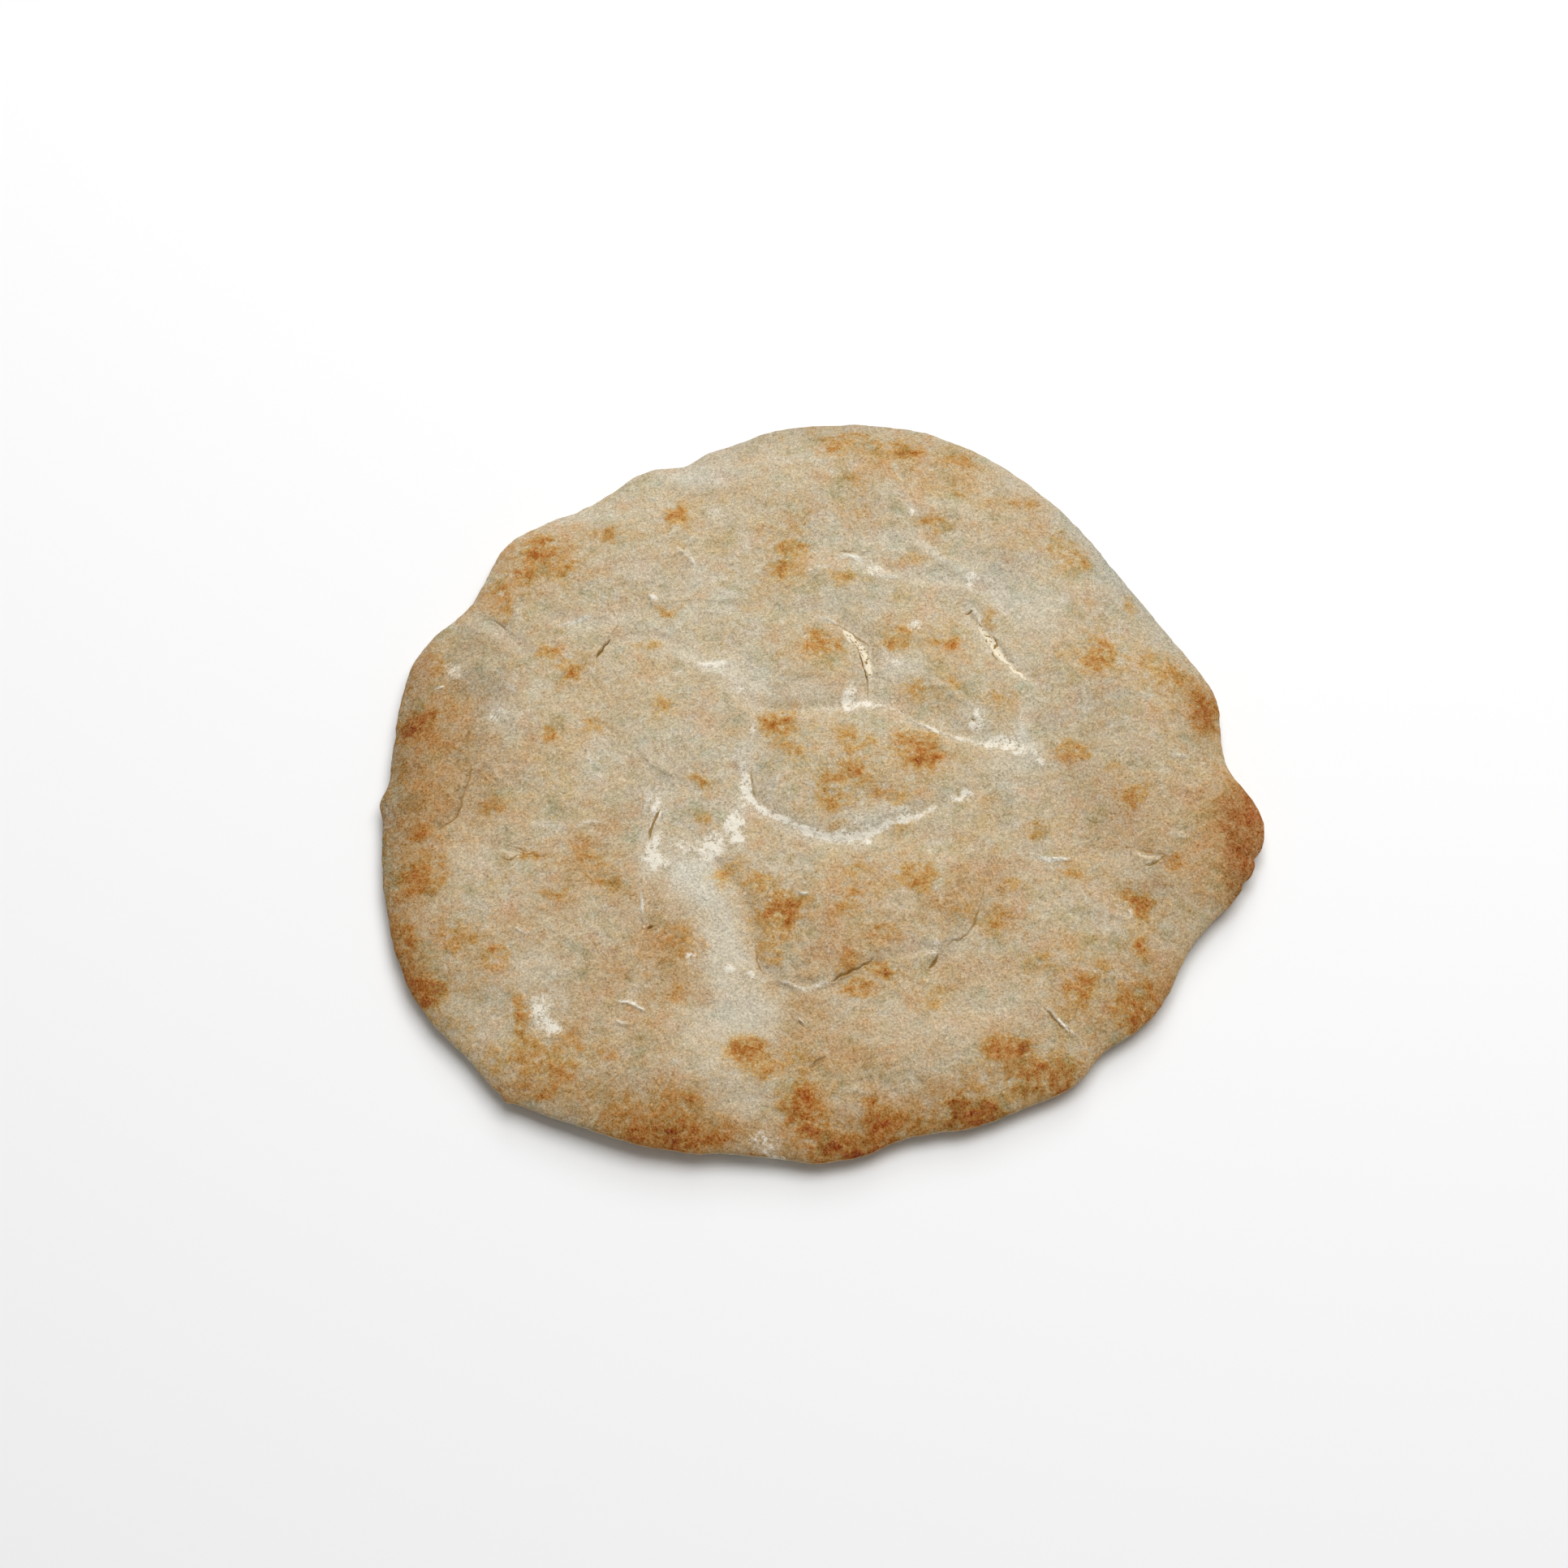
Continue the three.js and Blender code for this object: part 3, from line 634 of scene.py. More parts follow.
@dataclass
class Outline:
    """The plan of the base: a disc with lobes, notches and small nicks, and the height of its rim.

    wobbles are the lengths and heights of the edge's fine unevenness.
    """

    radius: float = 133.5
    centre: tuple[float, float] = CENTRE
    edge_height: float = 6.0
    under_rounding: float = 11.0
    top_rounding: float = 27.0
    wobbles: tuple[tuple[float, float], ...] = ((9.0, 0.4), (3.6, 0.22), (1.9, 0.12))
    lobes: tuple[Bell, ...] = (
        Bell(356, 6.5, 12), Bell(347, 7, 9.5), Bell(14, 7, 5), Bell(35, 11, -2.5), Bell(71, 19, 7),
        Bell(100, 5, -3), Bell(107, 4, -5.5), Bell(122, 11, -8), Bell(147, 8, -8), Bell(175, 13, -4.5),
        Bell(182, 2, 1.5), Bell(213, 13, 5), Bell(231, 6, 5.5), Bell(264, 11, -7), Bell(286, 10, -9),
        Bell(302, 7, -3.5), Bell(316, 4, -3), Bell(327, 5, 1.5),
    )
    nicks: tuple[Bell, ...] = (
        Bell(230.4, 0.8, 1.2), Bell(232, 4, -2), Bell(250, 11, -1.6), Bell(272, 9, -1), Bell(292, 9, -1),
        Bell(350.4, 0.7, -1.3), Bell(346.9, 0.6, -0.8),
    )
    lifts: tuple[Lift, ...] = (Lift(246, 16, 2, 8, 0), Lift(353, 10, 0.5, 6, 12))
    noise: DoughNoise = field(default_factory=lambda: DoughNoise(OUTLINE_SEED))

    def reach(self, angle: np.ndarray) -> np.ndarray:
        """Distance from the disc's centre to the edge.

        Args:
            angle: Directions in degrees from +X.

        Returns:
            One radius for each direction.
        """
        total = self.radius + sum(bell.at(angle) for bell in self.lobes + self.nicks)
        turn = np.radians(angle)
        along, across = self.radius * np.cos(turn), self.radius * np.sin(turn)
        return total + sum(height * self.noise.at(along, across, length) for length, height in self.wobbles)

    def rim_height(self, angle: np.ndarray) -> np.ndarray:
        """Height of the widest line of the rim, for directions in degrees."""
        return self.edge_height + sum(s.lift * s.share(angle) for s in self.lifts)

    def tuck(self, angle: np.ndarray) -> np.ndarray:
        """Width of the curve under the rim, for directions in degrees."""
        return self.under_rounding + sum(s.tuck * s.share(angle) for s in self.lifts)

    def shoulder(self, angle: np.ndarray) -> np.ndarray:
        """Width of the curve over the rim, for directions in degrees."""
        return self.top_rounding + sum(s.slope * s.share(angle) for s in self.lifts)

    def place(self, share: float, angle: np.ndarray, inward: np.ndarray | float = 0.0) -> np.ndarray:
        """Places in the plan on a ring.

        Args:
            share: How far from the centre to the edge, 0 to 1.
            angle: Directions in degrees.
            inward: Distance to move each place towards the centre.

        Returns:
            Places, one row of x and y each.
        """
        reach = share * self.reach(angle) - inward
        turn = np.radians(angle)
        return np.stack([np.cos(turn) * reach, np.sin(turn) * reach], axis=1) + self.centre

    def polar(self, plan: np.ndarray) -> tuple[np.ndarray, np.ndarray]:
        """Where places in the plan lie against the edge.

        Args:
            plan: Places, one row of x and y each.

        Returns:
            Directions in degrees, and distances inwards from the edge.
        """
        away = plan - self.centre
        angle = np.degrees(np.arctan2(away[:, 1], away[:, 0])) % 360
        return angle, np.maximum(self.reach(angle) - np.hypot(away[:, 0], away[:, 1]), 0.0)


@dataclass
class PlanMesh:
    """Triangles over the plan: rings from the middle out, made finer where that is wanted.

    Each ring has `sides` points more than the one inside it, apart from the last ones. Those lie rim_steps
    inside the edge and have equally many.
    """

    outline: Outline
    rings: int = 136
    sides: int = 6
    rim_steps: tuple[float, ...] = (0.55, 0.28, 0.1, 0.0)
    points: np.ndarray = field(init=False)
    faces: np.ndarray = field(init=False)
    edge: np.ndarray = field(init=False)

    def __post_init__(self) -> None:
        """Lays out the rings and joins them."""
        places = [np.array([self.outline.centre], float)]
        faces: list[tuple[int, int, int]] = []
        inner, total = np.array([0]), 1
        plans = [(k / self.rings, self.sides * k, 0.0) for k in range(1, self.rings)]
        plans += [(1.0, self.sides * self.rings, step) for step in self.rim_steps]
        for share, count, inward in plans:
            ring = np.arange(total, total + count)
            places.append(self.outline.place(share, self.directions(count), inward))
            faces += self.zip_rings(ring, inner)
            inner, total = ring, total + count
        self.points = np.vstack(places)
        self.faces = np.array(faces)
        self.edge = inner

    @staticmethod
    def directions(count: int) -> np.ndarray:
        """Evenly spaced directions in degrees."""
        return np.arange(count) * 360.0 / count

    @staticmethod
    def zip_rings(outer: np.ndarray, inner: np.ndarray) -> list[tuple[int, int, int]]:
        """Triangles between two rings that start in the same direction.

        Args:
            outer: Point numbers of the outer ring, anticlockwise.
            inner: Point numbers of the inner ring, or of a single middle point.

        Returns:
            Triangles that face up.
        """
        n, m = len(outer), len(inner)
        if m == 1:
            return [(outer[i], outer[(i + 1) % n], inner[0]) for i in range(n)]
        found, i, j = [], 0, 0
        while i < n or j < m:
            if j >= m or (i < n and (i + 1) * m <= (j + 1) * n):
                found.append((outer[i % n], outer[(i + 1) % n], inner[j % m]))
                i += 1
            else:
                found.append((outer[i % n], inner[(j + 1) % m], inner[j % m]))
                j += 1
        return found

    def refine(self, wanted: np.ndarray) -> None:
        """Halves the edges between wanted points, and splits the triangles that own them.

        Args:
            wanted: Whether finer triangles are wanted at each point.
        """
        corners = self.faces
        sides = np.sort(np.stack([corners, np.roll(corners, -1, axis=1)], axis=2), axis=2).reshape(-1, 2)
        edges, owner = np.unique(sides, axis=0, return_inverse=True)
        split = wanted[edges].all(axis=1)
        middle = np.full(len(edges), -1)
        middle[split] = len(self.points) + np.arange(split.sum())
        self.points = np.vstack([self.points, self.points[edges[split]].mean(axis=1)])
        middles = middle[owner.reshape(-1)].reshape(-1, 3)
        count = (middles >= 0).sum(axis=1)
        pieces = [corners[count == 0]]
        # With one or two edges halved, the corners are turned so that those edges come first
        for number, first in ((1, lambda m: m >= 0), (2, lambda m: np.roll(m, 1, axis=1) < 0)):
            rows = count == number
            turn = np.argmax(first(middles[rows]), axis=1)
            order = (turn[:, None] + np.arange(3)) % 3
            a, b, c = np.take_along_axis(corners[rows], order, axis=1).T
            ab, bc, _ = np.take_along_axis(middles[rows], order, axis=1).T
            ways = ((a, ab, c), (ab, b, c)) if number == 1 else ((a, ab, c), (ab, bc, c), (ab, b, bc))
            pieces += [np.stack(way, axis=1) for way in ways]
        a, b, c = corners[count == 3].T
        ab, bc, ca = middles[count == 3].T
        pieces += [np.stack(way, axis=1) for way in ((a, ab, ca), (ab, b, bc), (ca, bc, c), (ab, bc, ca))]
        self.faces = np.vstack(pieces)


@dataclass
class Wrinkles:
    """Bundles of short soft wrinkles that the crust has all over.

    Pairs are the least and the most that is drawn. turn_scatter, slide and bow are how far the wrinkles of a
    bundle differ in direction, along their run and in bend.
    """

    seed: int = WRINKLE_SEED
    bundles: int = 64
    room: float = 118.0
    centre: tuple[float, float] = CENTRE
    most_lines: int = 4
    spacing: tuple[float, float] = (2.0, 4.0)
    length: tuple[float, float] = (5.0, 13.0)
    height: tuple[float, float] = (0.2, 0.45)
    half: tuple[float, float] = (0.8, 1.3)
    # Flour on the wrinkles' crests, partly painted highlight
    most_flour_and_highlight: float = 0.3
    turn_scatter: float = 0.15
    slide: float = 1.5
    bow: float = 0.8

    @staticmethod
    def towards(angle: float) -> np.ndarray:
        """One step in a direction of the plan."""
        return np.array([math.cos(angle), math.sin(angle)])

    def lines(self) -> tuple[Ridge, ...]:
        """The wrinkles, drawn at random from the seed.

        Returns:
            One ridge for each wrinkle.
        """
        draw = np.random.default_rng(self.seed)
        found = []
        for _ in range(self.bundles):
            middle = self.room * math.sqrt(draw.random()) * self.towards(draw.uniform(0, 2 * math.pi))
            turn, gap = draw.uniform(0, math.pi), draw.uniform(*self.spacing)
            side = self.towards(turn + math.pi / 2)
            for number in range(draw.integers(1, self.most_lines + 1)):
                run = self.towards(turn + draw.normal(0, self.turn_scatter)) * draw.uniform(*self.length) / 2
                slide = draw.normal(0, self.slide) * self.towards(turn)
                at = middle + self.centre + number * gap * side + slide
                bow = draw.normal(0, self.bow) * side
                course = tuple(tuple(point) for point in (at - run, at + bow, at + run))
                found.append(Ridge(course, draw.uniform(*self.height), draw.uniform(*self.half),
                                   draw.uniform(0, self.most_flour_and_highlight)))
        return tuple(found)


@dataclass
class Crust:
    """The height of the base's top and underside over the plan.

    Lumps are the lengths and heights of the crust's unevenness. Cracks have ragged edges, those of torn
    openings more so by the factor tear_ragged.
    """

    outline: Outline = field(default_factory=Outline)
    creases: tuple[Crease, ...] = CREASES
    ridges: tuple[Ridge, ...] = field(default_factory=lambda: RIDGES + Wrinkles().lines())
    top_height: float = 13.5
    relief_fade: float = 16.0
    top_fullness: float = 1.7
    under_fullness: float = 2.2
    blister_softness: float = 1.3
    swell_height: float = 0.5
    swell_length: float = 62.0
    swell_slant: float = 0.2
    lip_reach: float = 7.0
    cut_share: float = 0.5
    cut_steepness: int = 4
    least_cut: float = 0.2
    ragged_size: float = 0.45
    ragged_length: float = 2.4
    tear_ragged: float = 1.7
    lumps: tuple[tuple[float, float], ...] = ((24.0, 0.5), (10.0, 0.42), (4.6, 0.25), (2.3, 0.12))
    under_lumps: tuple[tuple[float, float], ...] = ((30.0, 0.18), (9.0, 0.1))
    blisters: tuple[Blister, ...] = (
        Blister(13, -1, 40, 26, 4, 3.2), Blister(-2, 39, 20, 18, 0, 1.9),
        Blister(-45, 21, 31, 26, -35, 2.2), Blister(42, 36, 29, 21, -40, 2.1),
        Blister(10, -51, 45, 26, 8, 2.8), Blister(-121, 4, 34, 20, 80, 3),
        Blister(10, 103, 40, 19, -4, 1.8), Blister(-66, 78, 30, 17, 35, 1.8),
        Blister(-2, 68, 26, 12, 0, 1.6), Blister(-93, -54, 34, 27, 60, 2.2),
        Blister(-88, 18, 20, 28, 10, 1.6), Blister(96, 20, 22, 36, 20, 1.8),
        Blister(84, -58, 32, 24, -35, 1.8), Blister(26, -98, 42, 15, 6, 1.6),
        Blister(-46, -98, 32, 17, -20, 1.8),
    )
    noise: DoughNoise = field(default_factory=lambda: DoughNoise(CRUST_SEED))

    @staticmethod
    def arch(inward: np.ndarray, width: np.ndarray, fullness: float) -> np.ndarray:
        """A quarter of a rounded arch: 0 at the edge and 1 from `width` inwards."""
        left = 1 - np.minimum(inward / width, 1.0)
        return (1 - left ** fullness) ** (1 / fullness)

    def blister_height(self, plan: np.ndarray) -> np.ndarray:
        """The tallest blister over each place.

        Args:
            plan: Places, one row of x and y each.

        Returns:
            One height for each place.
        """
        most = np.zeros(len(plan))
        for b in self.blisters:
            turn = math.radians(b.turn)
            x, y = plan[:, 0] - b.x, plan[:, 1] - b.y
            along = (x * math.cos(turn) + y * math.sin(turn)) / b.long
            across = (y * math.cos(turn) - x * math.sin(turn)) / b.short
            room = np.maximum(1 - along ** 2 - across ** 2, 0.0)
            most = np.maximum(most, b.rise * room ** self.blister_softness)
        return most

    def lumpy(self, plan: np.ndarray, lumps: Iterable[tuple[float, float]]) -> np.ndarray:
        """Sum of noises over the plan, each of a length and a height."""
        x, y = plan.T
        return sum(height * self.noise.at(x + length, y, length) for length, height in lumps)

    def ragged(self, plan: np.ndarray) -> np.ndarray:
        """How far lines are pushed to their sides at each place."""
        return self.ragged_size * self.noise.at(plan[:, 0], plan[:, 1], self.ragged_length)

    def crack_edge(self, crease: Crease, away: np.ndarray, ragged: np.ndarray) -> np.ndarray:
        """Distances from a crack's line, made uneven."""
        return away + (self.tear_ragged if crease.tear else 1.0) * ragged

    def relief(self, plan: np.ndarray) -> np.ndarray:
        """What stands above or sinks below the smooth crust.

        Args:
            plan: Places, one row of x and y each.

        Returns:
            One height for each place.
        """
        x, y = plan[:, 0], plan[:, 1]
        wave = 2 * math.pi / self.swell_length
        height = self.swell_height * np.sin(x * wave) * np.cos((y + self.swell_slant * x) * wave)
        height = height + self.blister_height(plan) + self.lumpy(plan, self.lumps)
        deepest, cut = np.zeros(len(plan)), np.zeros(len(plan))
        ragged = self.ragged(plan)
        for ridge in self.ridges:
            away, along = ridge.measure(plan)
            height = height + ridge.height * taper(along) * hump(away + ragged, ridge.half)
        for crease in self.creases:
            away, along = crease.measure(plan)
            if crease.is_open:
                half = self.cut_share * crease.half + crease.tear
                width = np.maximum(half * taper(along), self.least_cut)
                edge = self.crack_edge(crease, away, ragged)
                walls = np.exp(-((edge / width) ** self.cut_steepness))
                cut = np.maximum(cut, crease.depth * taper(along) * walls)
            else:
                deepest = np.maximum(deepest, crease.depth * hump(away, crease.half))
                near = np.clip(away, -crease.reach, crease.reach)
                height = height + crease.lip * np.tanh(near) * hump(near, self.lip_reach)
        return height - deepest - cut

    def top(self, plan: np.ndarray, laid: np.ndarray) -> np.ndarray:
        """Heights of the top crust.

        Args:
            plan: Places, one row of x and y each.
            laid: How high something lies on the crust at each place.

        Returns:
            One height for each place.
        """
        angle, inward = self.outline.polar(plan)
        rim = self.outline.rim_height(angle)
        arch = self.arch(inward, self.outline.shoulder(angle), self.top_fullness)
        uneven = ease(inward / self.relief_fade) * (self.relief(plan) + laid)
        return rim + (self.top_height - rim) * arch + uneven

    def under(self, plan: np.ndarray) -> np.ndarray:
        """Heights of the underside.

        Args:
            plan: Places, one row of x and y each.

        Returns:
            One height for each place.
        """
        angle, inward = self.outline.polar(plan)
        tuck = self.outline.tuck(angle)
        curve = self.outline.rim_height(angle) * (1 - self.arch(inward, tuck, self.under_fullness))
        uneven = np.maximum(self.lumpy(plan, self.under_lumps), 0.0)
        return curve + ease(inward / tuck) * uneven


@dataclass
class Markings:
    """Where the crust is browned, floured, filmed, slit and torn, and where shade is painted on it.

    A patch is a core with a wider faint halo. warps are the lengths and sizes of the pushes that give
    patches uneven edges, and lines and even browning follow them by the shares fold_warp and scorch_warp.
    """

    crust: Crust
    warps: tuple[tuple[float, float], ...] = ((9.0, 2.6), (4.0, 1.4), (1.8, 0.6))
    scorch_warp: float = 0.5
    fold_warp: float = 0.4
    halo: float = 0.3
    core_fall: float = 0.55
    halo_fall: float = 0.22
    patch_length: float = 6.0
    flour_patchiness: float = 0.8
    flour_half: float = 1.15
    flour_height: float = 0.3
    flake_height: float = 0.16
    flake_length: float = 1.7
    seam_half: float = 4.0
    seam_film: float = 0.4
    # Pale veil along ridge crests, partly painted highlight
    ridge_film_and_highlight: float = 2.0
    dome_browning: float = 0.06
    dome_rise: float = 2.0
    crack_patchiness: float = 0.7
    crack_fade: float = 1.5
    slit_share: float = 0.5
    least_crack: float = 0.05
    under_browning: float = 0.5
    under_start: float = 7.0
    under_length: float = 14.0
    under_patchiness: float = 0.5
    wall_share: float = 0.15
    rim_width: float = 9.0
    band_inward: float = 4.5
    band_half: float = 6.5
    rim_browning: tuple[Bell, ...] = (
        Bell(180, 30, 0.35), Bell(215, 16, 0.35), Bell(282, 11, 0.7), Bell(308, 14, 0.4), Bell(80, 16, 0.15),
    )
    rim_scorch: tuple[Bell, ...] = (
        Bell(284, 12, 0.5), Bell(251, 13, 0.7), Bell(209, 7, 0.45), Bell(322, 8, 0.2), Bell(267, 6, 0.18),
    )
    # Painted shade along the rim, greyish, where it turns from the light
    rim_painted_shade: tuple[Bell, ...] = (
        Bell(36, 18, 0.8), Bell(88, 22, 0.6), Bell(178, 24, 0.9), Bell(236, 7, 0.2),
    )
    rim_film: tuple[Bell, ...] = (
        Bell(36, 14, 0.6), Bell(104, 12, 0.4), Bell(331, 5, 0.3), Bell(58, 8, 0.3), Bell(219, 6, 0.4),
    )
    noise: DoughNoise = field(default_factory=lambda: DoughNoise(MARKING_SEED))

    def warped(self, plan: np.ndarray, share: float = 1.0) -> np.ndarray:
        """Places pushed about a little.

        Args:
            plan: Places, one row of x and y each.
            share: How much of the pushes they follow.

        Returns:
            The new places.
        """
        x, y = plan[:, 0], plan[:, 1]
        moved = plan
        for length, push in self.warps:
            far = length * self.noise.SIDE / 2
            shift = [self.noise.at(x, y, length), self.noise.at(x + far, y, length)]
            moved = moved + share * push * np.stack(shift, axis=1)
        return moved

    def patches(self, plan: np.ndarray, marks: Iterable[Spot], share: float = 1.0) -> np.ndarray:
        """The strength of overlapping soft patches.

        Args:
            plan: Places, one row of x and y each.
            marks: The patches.
            share: How uneven their edges are.

        Returns:
            One strength for each place.
        """
        x, y = self.warped(plan, share).T
        clear = np.ones(len(plan))
        for s in marks:
            away = ((x - s.x) / s.wide) ** 2 + ((y - s.y) / s.deep) ** 2
            core, halo = np.exp(-self.core_fall * away ** 2), np.exp(-self.halo_fall * away)
            clear *= 1 - s.strength * ((1 - self.halo) * core + self.halo * halo)
        return 1 - clear

    def rim(self, plan: np.ndarray, bells: Iterable[Bell], half: float, inward: float = 0.0) -> np.ndarray:
        """The strength of a band along the edge, of some half width and with its middle so far inside."""
        angle, distance = self.crust.outline.polar(plan)
        return sum(bell.at(angle) for bell in bells) * hump(distance - inward, half)

    def lined(self, plan: np.ndarray, rows: Iterable[tuple[Seam, float, float]]) -> np.ndarray:
        """The strength of bands along folds and ridges.

        Args:
            plan: Places, one row of x and y each.
            rows: Each line with the strength and the half width of its band.

        Returns:
            One strength for each place.
        """
        moved = self.warped(plan, self.fold_warp)
        most = np.zeros(len(plan))
        for line, amount, half in rows:
            away, along = line.measure(moved)
            most = np.maximum(most, amount * taper(along) * hump(away, half))
        return most

    def browning(self, plan: np.ndarray) -> np.ndarray:
        """How brown the crust is where it browned unevenly.

        Args:
            plan: Places, one row of x and y each.

        Returns:
            One strength for each place.
        """
        dome = np.minimum(self.crust.blister_height(plan) / self.dome_rise, 1.0)
        rim = self.rim(plan, self.rim_browning, self.rim_width)
        return np.maximum(self.patches(plan, BROWNED), rim) + self.dome_browning * dome

    def scorch(self, plan: np.ndarray) -> np.ndarray:
        """How brown each place is, where it browned evenly."""
        rim = self.rim(plan, self.rim_scorch, self.band_half, self.band_inward)
        return np.maximum(self.patches(plan, SCORCHED + TOASTED, self.scorch_warp), rim)

    def under_scorch(self, plan: np.ndarray) -> np.ndarray:
        """How brown the underside is, which lay on the hot oven floor.

        Args:
            plan: Places, one row of x and y each.

        Returns:
            One strength for each place.
        """
        _, inward = self.crust.outline.polar(plan)
        patchy = 1 + self.under_patchiness * self.noise.at(plan[:, 0], plan[:, 1], self.under_length)
        return self.under_browning * patchy * ease(inward / self.under_start)

    def painted_shade(self, plan: np.ndarray) -> np.ndarray:
        """How much painted shade, a dull grey, each place gets, most of all round the rim."""
        return np.maximum(self.patches(plan, PAINTED_SHADE_SPOTS), self.rim(plan, self.rim_painted_shade, self.rim_width))

    def flour(self, plan: np.ndarray) -> np.ndarray:
        """How much flour lies on the crust, on ridges and in some folds. On ridge crests it is partly painted
        highlight.

        Args:
            plan: Places, one row of x and y each.

        Returns:
            One strength for each place.
        """
        rows = [(crease, crease.flour, self.flour_half) for crease in self.crust.creases if crease.flour]
        rows += [(ridge, ridge.flour, ridge.half) for ridge in self.crust.ridges]
        patchy = 1 + self.flour_patchiness * self.noise.at(plan[:, 0], plan[:, 1], self.patch_length)
        return np.maximum(self.patches(plan, FLOURED), patchy * self.lined(plan, rows))

    def film(self, plan: np.ndarray) -> np.ndarray:
        """How thick the thin pale film of flour is, also in the folds, round the rim and along ridges, where
        it is partly painted highlight.

        Args:
            plan: Places, one row of x and y each.

        Returns:
            One strength for each place, 0 to 1.
        """
        folds = [crease for crease in self.crust.creases if not crease.is_open]
        rows = [(fold, self.seam_film, self.seam_half) for fold in folds]
        rows += [(ridge, self.ridge_film_and_highlight * ridge.flour, ridge.half) for ridge in self.crust.ridges]
        most = np.maximum(self.patches(plan, FILMED), self.rim(plan, self.rim_film, self.rim_width))
        return np.minimum(np.maximum(most, self.lined(plan, rows)), 1.0)

    def heaps(self, plan: np.ndarray) -> np.ndarray:
        """How high flour and flakes of it stand on each place."""
        flakes = self.noise.at(plan[:, 0], plan[:, 1], self.flake_length)
        return self.flour(plan) * (self.flour_height + self.flake_height * flakes)

    def cracks(self, plan: np.ndarray) -> tuple[np.ndarray, np.ndarray]:
        """How dark and how torn each place is.

        Args:
            plan: Places, one row of x and y each.

        Returns:
            Slit and tear strengths, 0 to 1 each.
        """
        crust = self.crust
        slit, tear = np.zeros(len(plan)), np.zeros(len(plan))
        ragged = crust.ragged(plan)
        patchy = 1 + self.crack_patchiness * crust.noise.at(plan[:, 0], plan[:, 1], self.patch_length)
        for crease in crust.creases:
            if not crease.is_open:
                continue
            away, along = crease.measure(plan)
            half = crease.tear or self.slit_share * crease.slit
            near = np.abs(crust.crack_edge(crease, away, ragged))
            inside = ease(self.crack_fade - near / (half * taper(along) * patchy + self.least_crack))
            if crease.tear:
                tear = np.maximum(tear, crease.pale * inside)
            else:
                slit = np.maximum(slit, crease.dark * inside)
        return slit, tear


class NodeSheet:
    """Adds and joins the nodes of one material."""

    # Roughness of the noises, and the part of them that is spread from 0 to 1
    ROUGHNESS = 0.6
    LOW = 0.28
    HIGH = 0.72
    # Sockets of the mix node that take and give colours
    MIX_SHARE = 0
    MIX_UNDER = 6
    MIX_OVER = 7
    MIX_RESULT = 2

    def __init__(self, name: str) -> None:
        """Starts a material with only its output.

        Args:
            name: The material's name.
        """
        self.material = bpy.data.materials.new(name)
        self.material.use_nodes = True
        self.tree = self.material.node_tree
        self.tree.nodes.clear()
        self.output = self.tree.nodes.new("ShaderNodeOutputMaterial")

    def add(self, kind: str, inputs: dict, **settings: object) -> bpy.types.Node:
        """A new node with its sockets set or joined.

        Args:
            kind: Blender's name for the node.
            inputs: Values or sockets by input name or number.
            settings: The node's own properties.

        Returns:
            The node.
        """
        node = self.tree.nodes.new(kind)
        for name, value in settings.items():
            setattr(node, name, value)
        for key, value in inputs.items():
            if isinstance(value, Socket):
                self.tree.links.new(value, node.inputs[key])
            else:
                node.inputs[key].default_value = value
        return node

    def surface(self, inputs: dict) -> bpy.types.Material:
        """Ends the material with its shader.

        Args:
            inputs: The shader's values or sockets by input name.

        Returns:
            The material.
        """
        shader = self.add("ShaderNodeBsdfPrincipled", inputs)
        self.tree.links.new(shader.outputs["BSDF"], self.output.inputs["Surface"])
        return self.material

    def layer(self, layer: Layer) -> Socket:
        """What the mesh carries for one layer."""
        return self.add("ShaderNodeAttribute", {}, attribute_name=layer.value).outputs["Fac"]

    def noise(self, places: Socket, texture: Texture) -> Socket:
        """Noise from 0 to 1.

        Args:
            places: Where each point is.
            texture: The noise's length, detail and twist.

        Returns:
            The noise.
        """
        length, detail, twist = texture.value
        inputs = {"Vector": places, "Scale": 1 / (length * MM), "Detail": detail,
                  "Roughness": self.ROUGHNESS, "Distortion": twist}
        raw = self.add("ShaderNodeTexNoise", inputs).outputs["Fac"]
        spread = {"Value": raw, "From Min": self.LOW, "From Max": self.HIGH}
        return self.add("ShaderNodeMapRange", spread).outputs[0]

    def tints(self, places: Socket, length: float, detail: float, roughness: float) -> Socket:
        """Noise of its own in red, green and blue, with humps of a length in millimetres."""
        inputs = {"Vector": places, "Scale": 1 / (length * MM), "Detail": detail, "Roughness": roughness}
        return self.add("ShaderNodeTexNoise", inputs).outputs["Color"]

    def math(self, step: Step, *values: Socket | float) -> Socket:
        """One step of arithmetic between numbers."""
        return self.add("ShaderNodeMath", dict(enumerate(values)), operation=step.value).outputs[0]

    def vector(self, step: Step, *values: Socket | tuple[float, float, float]) -> Socket:
        """One step of arithmetic between colours or places."""
        return self.add("ShaderNodeVectorMath", dict(enumerate(values)), operation=step.value).outputs[0]

    def between(self, value: Socket, low: float, high: float) -> Socket:
        """A smooth rise from 0 at `low` to 1 at `high`."""
        inputs = {"Value": value, "From Min": low, "From Max": high}
        return self.add("ShaderNodeMapRange", inputs, interpolation_type="SMOOTHSTEP").outputs[0]

    def blend(self, share: Socket | float, under: Socket | tuple, over: Socket | str,
              how: Mixing = Mixing.COVER) -> Socket:
        """One colour over another.

        Args:
            share: How much of the upper colour shows.
            under: The lower colour or its socket.
            over: The upper colour's code or its socket.
            how: How they mix.

        Returns:
            The mixed colour.
        """
        upper = linear(over) if isinstance(over, str) else over
        inputs = {self.MIX_SHARE: share, self.MIX_UNDER: under, self.MIX_OVER: upper}
        node = self.add("ShaderNodeMix", inputs, data_type="RGBA", blend_type=how.value)
        return node.outputs[self.MIX_RESULT]


@dataclass(frozen=True)
class Bump:
    """Fine unevenness: its strength, its depth in millimetres, and the noises that it is made of."""

    strength: float
    depth: float
    noises: Weights


